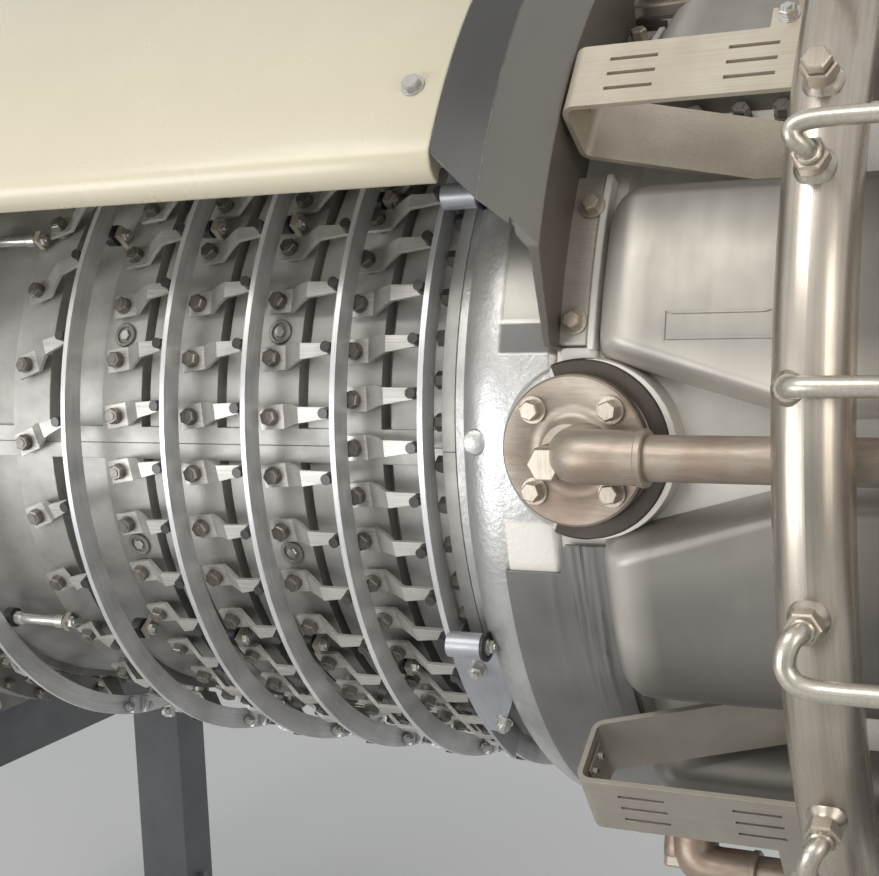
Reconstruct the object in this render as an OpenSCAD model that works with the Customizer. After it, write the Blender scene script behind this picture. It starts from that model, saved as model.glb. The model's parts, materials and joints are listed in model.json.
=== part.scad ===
// Industrial gas turbine engine on two floor pedestals, millimetres.
// The engine axis runs along X, the air enters at -X and leaves at +X.
// The origin is on the floor, in the middle of the engine's length.

/* [Layout] */
// height of the engine axis above the floor
axis_height = 1100; // [1000:10:1400]
// distance of the inlet face from the middle
inlet_face_x = 1500; // [1400:10:1700]
// distance of the exhaust face from the middle
exhaust_face_x = 1500; // [1400:10:1700]

/* [Inlet and exhaust] */
// radius of the air passage at the inlet frame
throat_radius = 430; // [425:1:436]
// radius of the hub inside the inlet frame
hub_radius = 236; // [220:1:250]
// wall thickness of the bellmouth and the inlet frame
inlet_wall = 15; // [12:1:18]
// pitch radius of the inlet flange bolt holes
inlet_bolt_radius = 622; // [616:1:626]
// pitch radius of the exhaust flange bolt holes
exhaust_bolt_radius = 600; // [596:1:606]
// distance from the bolt holes to the edge of an end flange
end_flange_edge = 18; // [16:1:22]
// thickness of the end flanges
end_flange_thick = 18; // [14:1:24]
// number of bolt holes in each end flange
end_bolts = 24; // [12:4:36]
// diameter of the end flange bolt holes
end_bolt_d = 18; // [14:1:20]
// number of guide vanes behind the inlet frame
guide_vanes = 24; // [18:2:30]

/* [Compressor case] */
// radius of the raised lands that carry the vane stems
land_radius = 384; // [380:1:388]
// height of a land above the plain case
land_rise = 10; // [6:1:14]
// depth of the narrow grooves below the plain case
groove_depth = 8; // [4:1:12]
// half width of a stem land along the axis
land_half = 27; // [24:1:28]
// width of the groove behind each land
groove_width = 10; // [6:1:12]
// half height of the split line flange
split_half = 18; // [12:1:18]
// gap between the two case halves at the split line
split_gap = 0.6; // [0.4:0.1:1]
// height of the bolted end flange above the lands
flange_rise = 28; // [26:1:32]

/* [Vane levers] */
// height of the boss between a land and a lever's foot
boss_height = 7; // [5:0.5:9]
// thickness of the lever plate
lever_thick = 4; // [3:0.5:5]
// half width of the lever foot
foot_half = 13; // [11:0.5:14]
// rise of the cranked part of the lever
lever_rise = 24; // [20:1:26]
// diameter of the vane stem end through the lever
stem_d = 10; // [8:0.5:12]
// height of the stem end above the lever's foot
stem_reach = 9; // [8:0.5:12]
// clearance round stems and ball studs
lever_clear = 0.3; // [0.2:0.05:0.5]
// diameter of the boss under each lever foot
boss_d = 22; // [18:1:24]

/* [Actuation rings] */
// height of the ring's outer edge above the centre of the balls
ring_lip = 6.5; // [6:0.5:10]
// radial height of the ring plate
ring_height = 26; // [22:1:27]
// thickness of the ring plate
ring_thick = 6; // [5:0.5:8]
// diameter of the ball on each lever tip
ball_d = 9; // [8:0.5:10]
// distance from the ball to the ring's forward face
ball_lead = 8; // [7:0.5:10]
// diameter of the guide rollers
roller_d = 24; // [20:1:26]

/* [Combustor] */
// number of fuel injectors round the case
injectors = 5; // [4:1:6]
// angle of the first injector above the horizontal
injector_phase = 1.5; // [-3:0.5:3]
// position of the injector ring along the axis
injector_x = 147; // [140:1:155]
// diameter of an injector flange
injector_flange_d = 138; // [120:1:145]
// thickness of an injector flange
injector_flange_thick = 14; // [10:1:18]
// radius of the combustor case
combustor_radius = 440; // [430:1:445]
// height of the insulation jackets above the combustor case
jacket_height = 52; // [44:1:58]
// radius of the rounded front shoulder of a jacket
jacket_shoulder = 36; // [20:1:40]
// diameter of an injector pipe
injector_pipe_d = 40; // [34:1:42]
// height of the pipe's centre line above the injector's seat
pipe_standoff = 58; // [52:1:62]

/* [Fuel manifold] */
// position of the manifold along the axis
manifold_x = 376; // [370:1:385]
// height of the manifold's centre line above the combustor case
manifold_height = 142; // [140:1:150]
// diameter of the manifold tube
manifold_d = 64; // [60:1:68]
// diameter of the feed tubes
feed_tube_d = 16; // [12:1:18]
// width of the slotted strap brackets
strap_width = 70; // [60:1:74]
// thickness of the strap brackets
strap_thick = 5; // [4:0.5:6]
// height of a strap bracket's closed front end
strap_height = 72; // [60:1:80]
// distance from the strap's outer face to the manifold's centre line
strap_drop = 17; // [10:1:22]

/* [Cover] */
// height of the arched cover and its hood above the combustor case
cover_height = 160; // [155:1:170]
// thickness of the arched cover
cover_thick = 28; // [20:1:30]
// angle of the cover's lower edge above the horizontal
cover_angle = 25.6; // [24:0.1:30]
// position of the joint between the cover and the hood
cover_end_x = 34; // [20:1:40]
// thickness of the hood's sheet metal
hood_thick = 6; // [4:0.5:8]

/* [Pedestals] */
// half distance between the feet across the engine
foot_span = 520; // [480:10:560]
// length and width of a foot plate
foot_plate = 220; // [180:10:260]
// thickness of a foot plate
foot_plate_thick = 24; // [16:1:30]
// diameter of the anchor bolt holes
anchor_d = 26; // [22:1:32]
// distance from an anchor hole to the edges of its foot plate
anchor_edge = 36; // [30:1:50]

/* [Hidden] */
$fn = 96;
seat_gap = 0.3;
case_radius = land_radius - land_rise;
groove_radius = case_radius - groove_depth;
flange_radius = land_radius + flange_rise;
foot_radius = land_radius + boss_height;
land_reach = land_half + groove_width;
// where the cases meet along the axis
inlet_frame_x = -1160;
frame_end_x = -1000;
front_case_x = -800;
case_end_x = -22;
flange_t = 14;
diffuser_x = case_end_x + flange_t + 0.2;
combustor_x = 114;
combustor_end_x = 584;
turbine_end_x = 1004;
// radii of the bolted joints of the inlet
frame_flange_r = throat_radius + 90;
inlet_case_r = throat_radius + 40;
case_front_r = land_radius + 40;
// one value a row, from the front: A B C D E F
stem_x = [-757, -563, -433.5, -332.5, -230, -131.3];
lever_len = [78, 80, 79.5, 80.5, 84, 84];
lever_swing = [22, 20.5, 9, 7.5, 4, 4];
vane_count = [24, 28, 40, 40, 40, 50];
vane_phase = [7.5, 0, 4.5, 4.5, 4.5, 0];
// one sector holds an injector or a strap bracket at its edge
sector = 180 / injectors;
ball_r = foot_radius + lever_thick + lever_rise + 2 + ball_d / 2;
ring_radius = ball_r + ring_lip;
ring_inner = ring_radius - ring_height;
stem_top = foot_radius + lever_thick + stem_reach;
boss_seat = land_radius + seat_gap;
jacket_radius = combustor_radius + jacket_height;
band_radius = combustor_radius + 18;
rim_radius = combustor_radius + 12;
manifold_radius = combustor_radius + manifold_height;
cover_radius = combustor_radius + cover_height;
turbine_flange_r = combustor_radius + 30;
turbine_shell_r = turbine_flange_r - 40;
pad_r = combustor_radius + 24;
boss_outer_d = injector_flange_d + 26;
injector_pipe_r = pad_r + pipe_standoff;
// the strap's front end stands behind the hood
strap_x = 134;
strap_bend = 13;
strap_r = manifold_radius - strap_drop - strap_height;
strap_end_x = manifold_x - seat_gap
  - sqrt(pow(manifold_d / 2, 2) - pow(strap_drop, 2));
strap_foot_x = 304;
jacket_front = combustor_x + 57;
jacket_back = combustor_end_x - 32;
pipe_end_x = combustor_end_x + 49;
front_pedestal_x = (inlet_frame_x + frame_end_x) / 2;
rear_pedestal_x = combustor_end_x + 116;
elbow_d = 46;
elbow_reach = 46;
far_up = 700;

// turns a flat outline of [radius, x] points round the engine axis
module turned(a = 360, from = 0) {
  translate([0, 0, axis_height])
    rotate([0, 90, 0])
      rotate([0, 0, from])
        rotate_extrude(angle = a)
          children();
}

// places a piece at x and radius r, t degrees above the near side;
// in the piece X is along the axis, Y is up round it, Z is outward
module on_case(x, r, t) {
  translate([0, 0, axis_height])
    rotate([-t, 0, 0])
      translate([x, -r, 0])
        rotate([90, 0, 0])
          children();
}

// a plain tube piece along Z
module pipe(d, h, bore) {
  difference() {
    cylinder(d = d, h = h);
    translate([0, 0, -1])
      cylinder(d = bore, h = h + 2);
  }
}

// a ring of through holes at one station along the axis
module axial_holes(x, r, n, d, depth) {
  for (i = [0:n - 1])
    on_case(x, r, (i + 0.5) * 360 / n)
      rotate([0, 90, 0])
        cylinder(d = d, h = depth);
}

// quarter oval from [r0, x0], along the axis there, to [r1, x1]
function flare(r0, x0, r1, x1, n = 8) =
  [for (i = [0:n])
    [r0 + (r1 - r0) * (1 - cos(i * 90 / n)),
      x0 + (x1 - x0) * sin(i * 90 / n)]];

function reversed(list) = [for (i = [len(list) - 1:-1:0]) list[i]];

// half of the bellmouth, above the split line
module bellmouth_half() {
  lip_r = inlet_bolt_radius - end_flange_edge - 8;
  flange_x = end_flange_thick - inlet_face_x;
  edge_r = inlet_bolt_radius + end_flange_edge;
  translate([0, 0, axis_height])
    intersection() {
      translate([0, 0, -axis_height])
        difference() {
          turned()
            polygon(concat(
              flare(throat_radius, inlet_frame_x - 40, lip_r, -inlet_face_x),
              [[edge_r, -inlet_face_x], [edge_r, flange_x]],
              reversed(flare(throat_radius + inlet_wall, inlet_frame_x - 40,
                lip_r + 8, flange_x)),
              [[throat_radius + inlet_wall, inlet_frame_x - inlet_wall],
                [frame_flange_r, inlet_frame_x - inlet_wall],
                [frame_flange_r, inlet_frame_x],
                [throat_radius, inlet_frame_x]]));
          axial_holes(-inlet_face_x - 1, inlet_bolt_radius, end_bolts,
            end_bolt_d, end_flange_thick + 2);
        }
      translate([-inlet_face_x - 1, -far_up, split_gap / 2])
        cube([inlet_face_x, 2 * far_up, far_up]);
    }
}

module inlet_bellmouth_upper() {
  color([0.86, 0.84, 0.78])
    bellmouth_half();
}

module inlet_bellmouth_lower() {
  color([0.86, 0.84, 0.78])
    translate([0, 0, axis_height])
      mirror([0, 0, 1])
        translate([0, 0, -axis_height])
          bellmouth_half();
}

module inlet_frame() {
  shell_r = throat_radius + inlet_wall;
  color([0.72, 0.72, 0.69])
    turned()
      polygon([[throat_radius, inlet_frame_x + 0.2],
        [frame_flange_r, inlet_frame_x + 0.2],
        [frame_flange_r, inlet_frame_x + inlet_wall],
        [shell_r, inlet_frame_x + inlet_wall],
        [shell_r, frame_end_x - inlet_wall],
        [inlet_case_r, frame_end_x - inlet_wall],
        [inlet_case_r, frame_end_x - 0.2],
        [throat_radius, frame_end_x - 0.2]]);
}

// a tube between two radii and two stations along the axis
module passage(r0, r1, x0, x1) {
  turned()
    translate([r0, x0])
      square([r1 - r0, x1 - x0]);
}

// struts between the hub and the inlet frame
module inlet_struts() {
  color([0.72, 0.72, 0.69])
    intersection() {
      passage(hub_radius + seat_gap, throat_radius - seat_gap,
        inlet_frame_x + 4, frame_end_x - 4);
      union()
        for (i = [0:5])
          on_case((inlet_frame_x + frame_end_x) / 2, hub_radius - 10,
              30 + i * 60)
            linear_extrude(throat_radius - hub_radius + 40)
              lens(132, 28);
    }
}

module inlet_hub() {
  color([0.72, 0.72, 0.69])
    passage(0, hub_radius, inlet_frame_x + 10, frame_end_x - 4);
}

// lens shaped outline of a strut or a vane, long along X
module lens(radius, thickness) {
  shift = radius - thickness / 2;
  intersection() {
    translate([0, shift])
      circle(r = radius, $fn = 360);
    translate([0, -shift])
      circle(r = radius, $fn = 360);
  }
}

module nose_cone() {
  color([0.86, 0.84, 0.78])
    turned()
      intersection() {
        translate([0, inlet_frame_x + 9.8])
          circle(r = hub_radius - 2);
        translate([0, inlet_frame_x - 240])
          square([300, 249.8]);
      }
}

// the inner face of the inlet case narrows towards the compressor
passage_end_r = land_radius - 4;

module inlet_guide_vanes() {
  middle_x = (frame_end_x + front_case_x) / 2;
  color([0.55, 0.56, 0.57])
    intersection() {
      turned()
        polygon([[hub_radius + seat_gap, frame_end_x + 10],
          [throat_radius - 18 - seat_gap, frame_end_x],
          [passage_end_r - seat_gap, front_case_x - 30],
          [hub_radius + seat_gap, front_case_x - 30]]);
      union()
        for (i = [0:guide_vanes - 1])
          on_case(middle_x, hub_radius - 4,
              (i + 0.5) * 360 / guide_vanes)
            rotate([0, 0, 16])
              linear_extrude(throat_radius - hub_radius)
                lens(140, 8);
    }
}

module guide_vane_hub() {
  color([0.55, 0.56, 0.57])
    passage(0, hub_radius, frame_end_x - 3.8, front_case_x - 0.4);
}

module inlet_case() {
  color([0.74, 0.73, 0.69])
    turned()
      polygon([[throat_radius - 18, frame_end_x],
        [inlet_case_r, frame_end_x],
        [inlet_case_r, frame_end_x + 16],
        [throat_radius + 10, frame_end_x + 16],
        [throat_radius, frame_end_x + 40],
        [passage_end_r + 18, front_case_x - 30],
        [passage_end_r + 18, front_case_x - 16],
        [case_front_r, front_case_x - 16],
        [case_front_r, front_case_x - 0.2],
        [hub_radius + 4, front_case_x - 0.2],
        [hub_radius + 4, front_case_x - 2],
        [passage_end_r, front_case_x - 30]]);
}

// outline of the case wall, lands and grooves, as a solid to the axis
module case_outline() {
  difference() {
    union() {
      translate([0, front_case_x])
        square([case_radius, case_end_x - front_case_x]);
      translate([0, front_case_x])
        square([case_front_r, 16]);
      translate([0, case_end_x])
        square([flange_radius, flange_t]);
      for (i = [0:5])
        translate([0, stem_x[i] - land_half])
          square([land_radius, 2 * land_half]);
      for (i = [2:5])
        translate([0, stem_x[i] + land_reach])
          square([land_radius - 3, i == 5 ? 40 : 30]);
    }
    for (i = [1:5])
      translate([groove_radius, stem_x[i] + land_half])
        square([40, groove_width]);
  }
}

module split_flange() {
  translate([front_case_x + 30, -land_radius, -split_half])
    cube([case_end_x - front_case_x - 40, 2 * land_radius,
      2 * split_half]);
}

module case_half() {
  intersection() {
    union() {
      turned()
        case_outline();
      translate([0, 0, axis_height])
        intersection() {
          split_flange();
          rotate([0, 90, 0])
            translate([0, 0, -900])
              cylinder(r = land_radius, h = 900);
        }
    }
    translate([-1000, -far_up, axis_height + split_gap / 2])
      cube([1000, 2 * far_up, far_up]);
  }
}

module compressor_case_upper() {
  color([0.72, 0.71, 0.68])
    case_half();
}

module compressor_case_lower() {
  color([0.72, 0.71, 0.68])
    translate([0, 0, axis_height])
      mirror([0, 0, 1])
        translate([0, 0, -axis_height])
          case_half();
}

module stems(i) {
  color([0.5, 0.5, 0.5])
    for (k = [0:vane_count[i] - 1])
      on_case(stem_x[i], 0, vane_phase[i] + k * 360 / vane_count[i]) {
        translate([0, 0, boss_seat])
          cylinder(d = boss_d, h = foot_radius - boss_seat, $fn = 32);
        translate([0, 0, foot_radius - 0.5])
          cylinder(d = stem_d, h = stem_top - foot_radius + 0.5,
            $fn = 24);
      }
}

// side view of a lever: foot, crank and tip
module lever_side(len) {
  polygon([[-foot_half, 0], [17, 0], [49, lever_rise],
    [len + 6, lever_rise], [len + 6, lever_rise + lever_thick],
    [47.5, lever_rise + lever_thick], [15.5, lever_thick],
    [-foot_half, lever_thick]]);
}

// top view of a lever: square foot, waist, narrow rounded tip
module lever_plan(len) {
  polygon([[-foot_half, -foot_half], [16, -foot_half], [34, -9.5],
    [48, -8.5], [len, -5.5], [len + 5, -3.5], [len + 5, 3.5],
    [len, 5.5], [48, 8.5], [34, 12], [16, foot_half],
    [-foot_half, foot_half]]);
}

module lever(len) {
  difference() {
    intersection() {
      linear_extrude(lever_rise + lever_thick + 5)
        lever_plan(len);
      translate([0, 20, 0])
        rotate([90, 0, 0])
          linear_extrude(40)
            lever_side(len);
    }
    translate([0, 0, -1])
      cylinder(d = stem_d + 2 * lever_clear, h = lever_thick + 2,
        $fn = 24);
    translate([len, 0, lever_rise - 1])
      cylinder(d = ball_d / 2 + 2 * lever_clear, h = lever_thick + 2,
        $fn = 24);
  }
}

module levers(i) {
  color([0.42, 0.42, 0.42])
    for (k = [0:vane_count[i] - 1])
      on_case(stem_x[i], foot_radius,
          vane_phase[i] + k * 360 / vane_count[i])
        rotate([0, 0, lever_swing[i]])
          lever(lever_len[i]);
}

// x of a ring's forward face
function ring_x(i) =
  stem_x[i] + lever_len[i] * cos(lever_swing[i]) + ball_lead;

module ring(i) {
  color([0.55, 0.57, 0.6]) {
    turned()
      translate([ring_inner, ring_x(i)])
        square([ring_height, ring_thick]);
    for (k = [0:vane_count[i] - 1])
      on_case(stem_x[i], 0, vane_phase[i] + k * 360 / vane_count[i])
        translate([lever_len[i] * cos(lever_swing[i]),
            lever_len[i] * sin(lever_swing[i]), ball_r])
          ball_stud();
    // bolted joint lugs at the bottom
    for (s = [-1, 1])
      on_case(ring_x(i) + ring_thick / 2, ring_radius - 4,
          -90 + s * 1.6)
        translate([-ring_thick, -4, 0])
          cube([ring_thick * 2, 8, 22]);
  }
}

// ball, its pin to the ring and its stud through the lever tip
module ball_stud() {
  sphere(d = ball_d, $fn = 24);
  rotate([0, 90, 0])
    cylinder(d = ball_d / 2, h = ball_lead + 1, $fn = 24);
  translate([0, 0, -ball_d / 2 - lever_thick - 2])
    cylinder(d = ball_d / 2, h = ball_d / 2 + lever_thick + 2,
      $fn = 24);
}

module vane_stems_a() { stems(0); }
module vane_stems_b() { stems(1); }
module vane_stems_c() { stems(2); }
module vane_stems_d() { stems(3); }
module vane_stems_e() { stems(4); }
module vane_stems_f() { stems(5); }
module vane_levers_a() { levers(0); }
module vane_levers_b() { levers(1); }
module vane_levers_c() { levers(2); }
module vane_levers_d() { levers(3); }
module vane_levers_e() { levers(4); }
module vane_levers_f() { levers(5); }
module actuation_ring_a() { ring(0); }
module actuation_ring_b() { ring(1); }
module actuation_ring_c() { ring(2); }
module actuation_ring_d() { ring(3); }
module actuation_ring_e() { ring(4); }
module actuation_ring_f() { ring(5); }

// guide rollers stand where the next row leaves room
roller_at = [36, 36, 36, 36, 39.6];
// over the lands there is room for smaller rollers only
roller_size = [roller_d, roller_d, roller_d - 4, roller_d - 4,
  roller_d - 4];

function roller_r(i) =
  ring_inner - lever_clear - roller_size[i] / 2;

module ring_rollers() {
  color([0.2, 0.2, 0.21])
    for (i = [0:4])
      for (t = [-1, 1])
        for (u = [0, 180])
          on_case(ring_x(i) + ring_thick / 2, roller_r(i),
              u + t * roller_at[i])
            translate([-6, 0, 0])
              rotate([0, 90, 0])
                pipe(roller_size[i], 12, 10 + 2 * lever_clear);
}

// seat radius under the roller posts of each ring
post_seat = [land_radius, case_radius, land_radius, land_radius,
  land_radius];

// distance from a ring's middle to its roller post; the first is long
post_at = [84, 8, 8, 8, 8];

module roller_posts() {
  color([0.6, 0.58, 0.5])
    for (i = [0:4])
      for (t = [-1, 1])
        for (u = [0, 180])
          on_case(ring_x(i) + ring_thick / 2, 0,
              u + t * roller_at[i]) {
            translate([post_at[i], -7, post_seat[i] + seat_gap])
              cube([7, 14, roller_r(i) + 8 - post_seat[i]]);
            translate([-9, 0, roller_r(i)])
              rotate([0, 90, 0])
                cylinder(d = 10, h = post_at[i] + 10, $fn = 24);
          }
}

// curved plates bolted to the last ring, each with a roller sleeve
module ring_f_brackets() {
  color([0.6, 0.6, 0.6])
    for (t = [-1, 1])
      for (u = [0, 180])
        on_case(ring_x(5) + ring_thick + 0.2, 0, u + t * 44) {
          intersection() {
            rotate([0, 90, 0])
              pipe(2 * (ring_radius + 6), 5, 2 * (ring_inner - 8));
            translate([-1, -100, ring_inner - 50])
              cube([8, 200, 90]);
          }
          translate([0, -t * 84, ring_radius + 8])
            rotate([0, 90, 0])
              cylinder(d = 28, h = 38, $fn = 48);
        }
}

module diffuser_case() {
  bulge_x = 57;
  color([0.75, 0.76, 0.77]) {
    turned()
      polygon(concat(
        [[0, diffuser_x], [flange_radius, diffuser_x],
          [flange_radius, diffuser_x + 14]],
        reversed(flare(band_radius, bulge_x, flange_radius + 1,
          diffuser_x + 14)),
        [[band_radius, combustor_x - 6], [rim_radius, combustor_x],
          [0, combustor_x]]));
    on_case(28, combustor_radius - 10, 2)
      cylinder(d = 26, h = 20, $fn = 48);
    intersection() {
      injector_seats();
      passage(combustor_radius - 30, pad_r + 1, diffuser_x + 20,
        combustor_x);
    }
  }
}

// round seats under the injector flanges, shared by two cases
module injector_seats() {
  for (k = [0:injectors - 1])
    on_case(injector_x + 4, combustor_radius - 20,
        injector_phase + k * 2 * sector)
      cylinder(d = boss_outer_d, h = pad_r - combustor_radius + 20,
        $fn = 64);
}

// sheet over the case joint below the first injector
module apron_sheet() {
  color([0.62, 0.63, 0.64])
    turned(46, 270 - injector_phase + 14.5)
      translate([band_radius + seat_gap, 57])
        square([4, 108]);
}

// hood over the bleed ports: skin, sloping shoulder and rear wall
module hood_section() {
  t = hood_thick;
  r = cover_radius;
  polygon([[r, cover_end_x + 0.2], [r, 88], [r - 45, 131],
    [r - 115, 121], [rim_radius + seat_gap, 121],
    [rim_radius + seat_gap, 121 - t], [r - 115, 121 - t],
    [r - 48, 131 - 1.6 * t], [r - t, 88 - 0.4 * t],
    [r - t, cover_end_x + 0.2]]);
}

// what the slanting lower ends take off the hood, seen from the side
module hood_cut() {
  r = cover_radius;
  translate([0, far_up, 0])
    rotate([90, 0, 0])
      linear_extrude(2 * far_up)
        polygon([[-10, -far_up], [-10, r * sin(32)],
          [cover_end_x, r * sin(28)], [91, r * sin(23)],
          [112, r * sin(20.9)], [112, -far_up]]);
}

// a point seen from behind, a degrees above the near side
function near_point(r, a) = [-r * cos(a), r * sin(a)];

// the rear wall reaches further down and ends on a slope
module hood_wall_cut() {
  r = cover_radius;
  top = near_point(r + 48, 27.6);
  translate([110, 0, 0])
    rotate([90, 0, 90])
      linear_extrude(40)
        polygon([[-far_up, 0], near_point(rim_radius - 42, 0),
          near_point(rim_radius - 42, 12.7), near_point(r - 111, 12.7),
          near_point(r - 39, 21.3), top, [-far_up, top[1]]]);
}

module bleed_hood() {
  color([0.5, 0.52, 0.54])
    difference() {
      turned(158, 101)
        hood_section();
      for (k = [0:injectors - 1])
        on_case(injector_x + 4, 300, injector_phase + k * 2 * sector)
          cylinder(d = boss_outer_d + 6, h = 400);
      translate([0, 0, axis_height]) {
        hood_cut();
        hood_wall_cut();
        mirror([0, 1, 0])
          hood_wall_cut();
      }
    }
}

module combustor_case() {
  color([0.78, 0.77, 0.74])
    difference() {
      union() {
        turned()
          polygon([[0, combustor_x + 0.2], [rim_radius, combustor_x + 0.2],
            [rim_radius, jacket_front - 5],
            [combustor_radius, jacket_front + 1],
            [combustor_radius, combustor_end_x - 24],
            [turbine_flange_r, combustor_end_x - 18],
            [turbine_flange_r, combustor_end_x], [0, combustor_end_x]]);
        injector_seats();
      }
      translate([-400, -far_up, 0])
        cube([combustor_x + 400.2, 2 * far_up, 3000]);
    }
}

// clamp plates between the injectors, in front of the jackets;
// the last two sectors have the apron sheet instead
module clamp_plates() {
  color([0.5, 0.42, 0.34])
    for (k = [0:2 * injectors - 3])
      rim_strip(k, combustor_x + 8, combustor_x + 49, 14);
}

module gasket_strips() {
  color([0.9, 0.88, 0.8])
    for (k = [0:2 * injectors - 3])
      rim_strip(k, combustor_x + 49.6, jacket_front - 0.4, 8);
}

// a strip on the case joint, in the middle of sector k, that ends
// beside the injector seat
module rim_strip(k, x0, x1, height) {
  free = rim_radius * sin(sector / 2) - boss_outer_d / 2 - 2;
  half_length = free / cos(sector / 2);
  intersection() {
    passage(rim_radius + seat_gap, rim_radius + seat_gap + height, x0, x1);
    on_case(x0, 0, injector_phase + (k + 0.5) * sector)
      translate([-1, -half_length, 300])
        cube([x1 - x0 + 2, 2 * half_length, 300]);
  }
}

// rounded insulation panels between neighbouring injector pipes
module insulation_jackets() {
  color([0.8, 0.79, 0.76])
    for (k = [0:2 * injectors - 1])
      difference() {
        intersection() {
          turned()
            jacket_section();
          on_case(0, 0, injector_phase + (k + 0.5) * sector)
            translate([0, 0, 300])
              linear_extrude(300)
                jacket_plan();
        }
        on_case(injector_x + 4, 300,
            injector_phase + (k + k % 2) * sector)
          cylinder(d = boss_outer_d + 6, h = 300);
        // room for the foot of the strap on the other side
        on_case(strap_foot_x - 60, 300,
            injector_phase + (k + 1 - k % 2) * sector)
          translate([0, -strap_width / 2 - 3, 0])
            cube([100, strap_width + 6, 300]);
      }
}

module jacket_section() {
  front = jacket_front;
  back = jacket_back;
  inner = combustor_radius + seat_gap;
  polygon(concat([[inner, back], [inner, front]],
    [for (a = [0:15:90])
      [jacket_radius - jacket_shoulder * (1 - sin(a)),
        front + jacket_shoulder * (1 - cos(a))]],
    [for (a = [90:-22.5:0])
      [jacket_radius - 14 * (1 - sin(a)), back - 14 * (1 - cos(a))]]));
}

module jacket_plan() {
  front = jacket_front;
  back = jacket_back + 8;
  w = combustor_radius * sin(sector / 2) - 18;
  polygon([[front - 3, 46 - w], [front + 33, 26 - w],
    [front + 159, 6 - w], [back, -w], [back, w],
    [front + 159, w - 6], [front + 33, w - 26], [front - 3, w - 46]]);
}

module injector_flanges() {
  color([0.52, 0.46, 0.4])
    for (k = [0:injectors - 1])
      on_case(injector_x, pad_r + 0.2,
          injector_phase + k * 2 * sector) {
        cylinder(d = injector_flange_d, h = injector_flange_thick);
        cylinder(d = elbow_d, h = injector_pipe_r - pad_r);
        translate([0, 0, injector_pipe_r - pad_r]) {
          sphere(d = elbow_d);
          rotate([0, 90, 0])
            cylinder(d = elbow_d, h = elbow_reach);
        }
        translate([-24, -10, 0])
          cylinder(d = 26, h = injector_flange_thick + 6, $fn = 48);
      }
}

module injector_pipes() {
  length = pipe_end_x - injector_x - elbow_reach;
  color([0.5, 0.45, 0.4])
    for (k = [0:injectors - 1])
      on_case(injector_x + elbow_reach + 0.2, injector_pipe_r + 0.2,
          injector_phase + k * 2 * sector)
        rotate([0, 90, 0]) {
          cylinder(d = injector_pipe_d, h = length);
          translate([0, 0, length - 14])
            cylinder(d = injector_pipe_d + 26, h = 14);
        }
}

module fuel_manifold() {
  color([0.62, 0.58, 0.52])
    turned()
      translate([manifold_radius, manifold_x])
        circle(d = manifold_d);
}

// angles of the welded fittings from an injector; the first is capped
fitting_at = [31.3, 23.3, -10.5, -28.1];

module manifold_fittings() {
  color([0.6, 0.57, 0.52])
    for (k = [0:injectors - 1])
      for (i = [0:3])
        on_case(manifold_x,
            manifold_radius + manifold_d / 2 + seat_gap,
            injector_phase + fitting_at[i] + k * 2 * sector) {
          cylinder(d = 22, h = 8);
          translate([0, 0, 8])
            linear_extrude(14)
              circle(d = 28, $fn = 6);
          translate([0, 0, 22])
            cylinder(d = 20, h = i == 0 ? 8 : 3);
        }
}

// tubes that leave the fittings outwards and bend towards the turbine
module manifold_feed_tubes() {
  bend = 20;
  color([0.62, 0.6, 0.56])
    for (k = [0:injectors - 1])
      for (i = [1:3])
        on_case(manifold_x,
            manifold_radius + manifold_d / 2 + 25 + 2 * seat_gap,
            injector_phase + fitting_at[i] + k * 2 * sector) {
          cylinder(d = feed_tube_d, h = 3);
          translate([bend, 0, 3]) {
            rotate([90, 0, 0])
              rotate([0, 0, 90])
                rotate_extrude(angle = 90)
                  translate([bend, 0])
                    circle(d = feed_tube_d, $fn = 32);
            translate([0, 0, bend])
              rotate([0, 90, 0])
                cylinder(d = feed_tube_d, h = 90);
          }
        }
}

// angle by which the strap's inner leg slopes down to the case
strap_slope = atan2(strap_r - combustor_radius - seat_gap,
  strap_foot_x - strap_x - strap_bend);

// points of a bend about [x, y] between two directions
function bend(x, y, r, from, to, n = 9) =
  [for (i = [0:n])
    [x + r * cos(from + (to - from) * i / n),
      y + r * sin(from + (to - from) * i / n)]];

// side view of a strap from its front end: outer leg, closed end, leg
module strap_side() {
  b = strap_bend;
  t = strap_thick;
  end = strap_end_x - strap_x;
  drop = strap_r - combustor_radius - seat_gap;
  run = strap_foot_x - strap_x;
  inside = b - t;
  polygon(concat([[end, strap_height]],
    bend(b, strap_height - b, b, 90, 180),
    bend(b, b, b, 180, 270 - strap_slope),
    [[run, -drop], [run + 34, -drop], [run + 34, t - drop],
      [run + 2, t - drop]],
    bend(b, b, inside, 270 - strap_slope, 180),
    bend(b, strap_height - b, inside, 180, 90),
    [[end, strap_height - t]]));
}

// distance from a strap's edge to the middle of its manifold band;
// the long one leaves room for the capped fitting
function band_offset(side) = side > 0 ? 18 : 42;

// band round the manifold, beside strap k
module manifold_clamp(k, side) {
  band = 5;
  angle = injector_phase + (2 * k + 1) * sector
    + side * asin((strap_width / 2 + band_offset(side)) / manifold_radius);
  on_case(manifold_x, manifold_radius, angle)
    translate([0, -12, 0])
      rotate([-90, 0, 0])
        difference() {
          cylinder(d = manifold_d + 2 * (seat_gap + band), h = 24);
          translate([0, 0, -1])
            cylinder(d = manifold_d + 2 * seat_gap, h = 26);
        }
}

// ear that joins the band to the strap's outer leg
module clamp_ear(side) {
  reach = 34;
  inside = 6;
  width = band_offset(side) + 4 + inside;
  translate([strap_end_x - strap_x - reach - 3,
      side > 0 ? strap_width / 2 - inside : inside - width - strap_width / 2,
      strap_height - strap_thick])
    cube([reach, width, strap_thick]);
}

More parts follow.
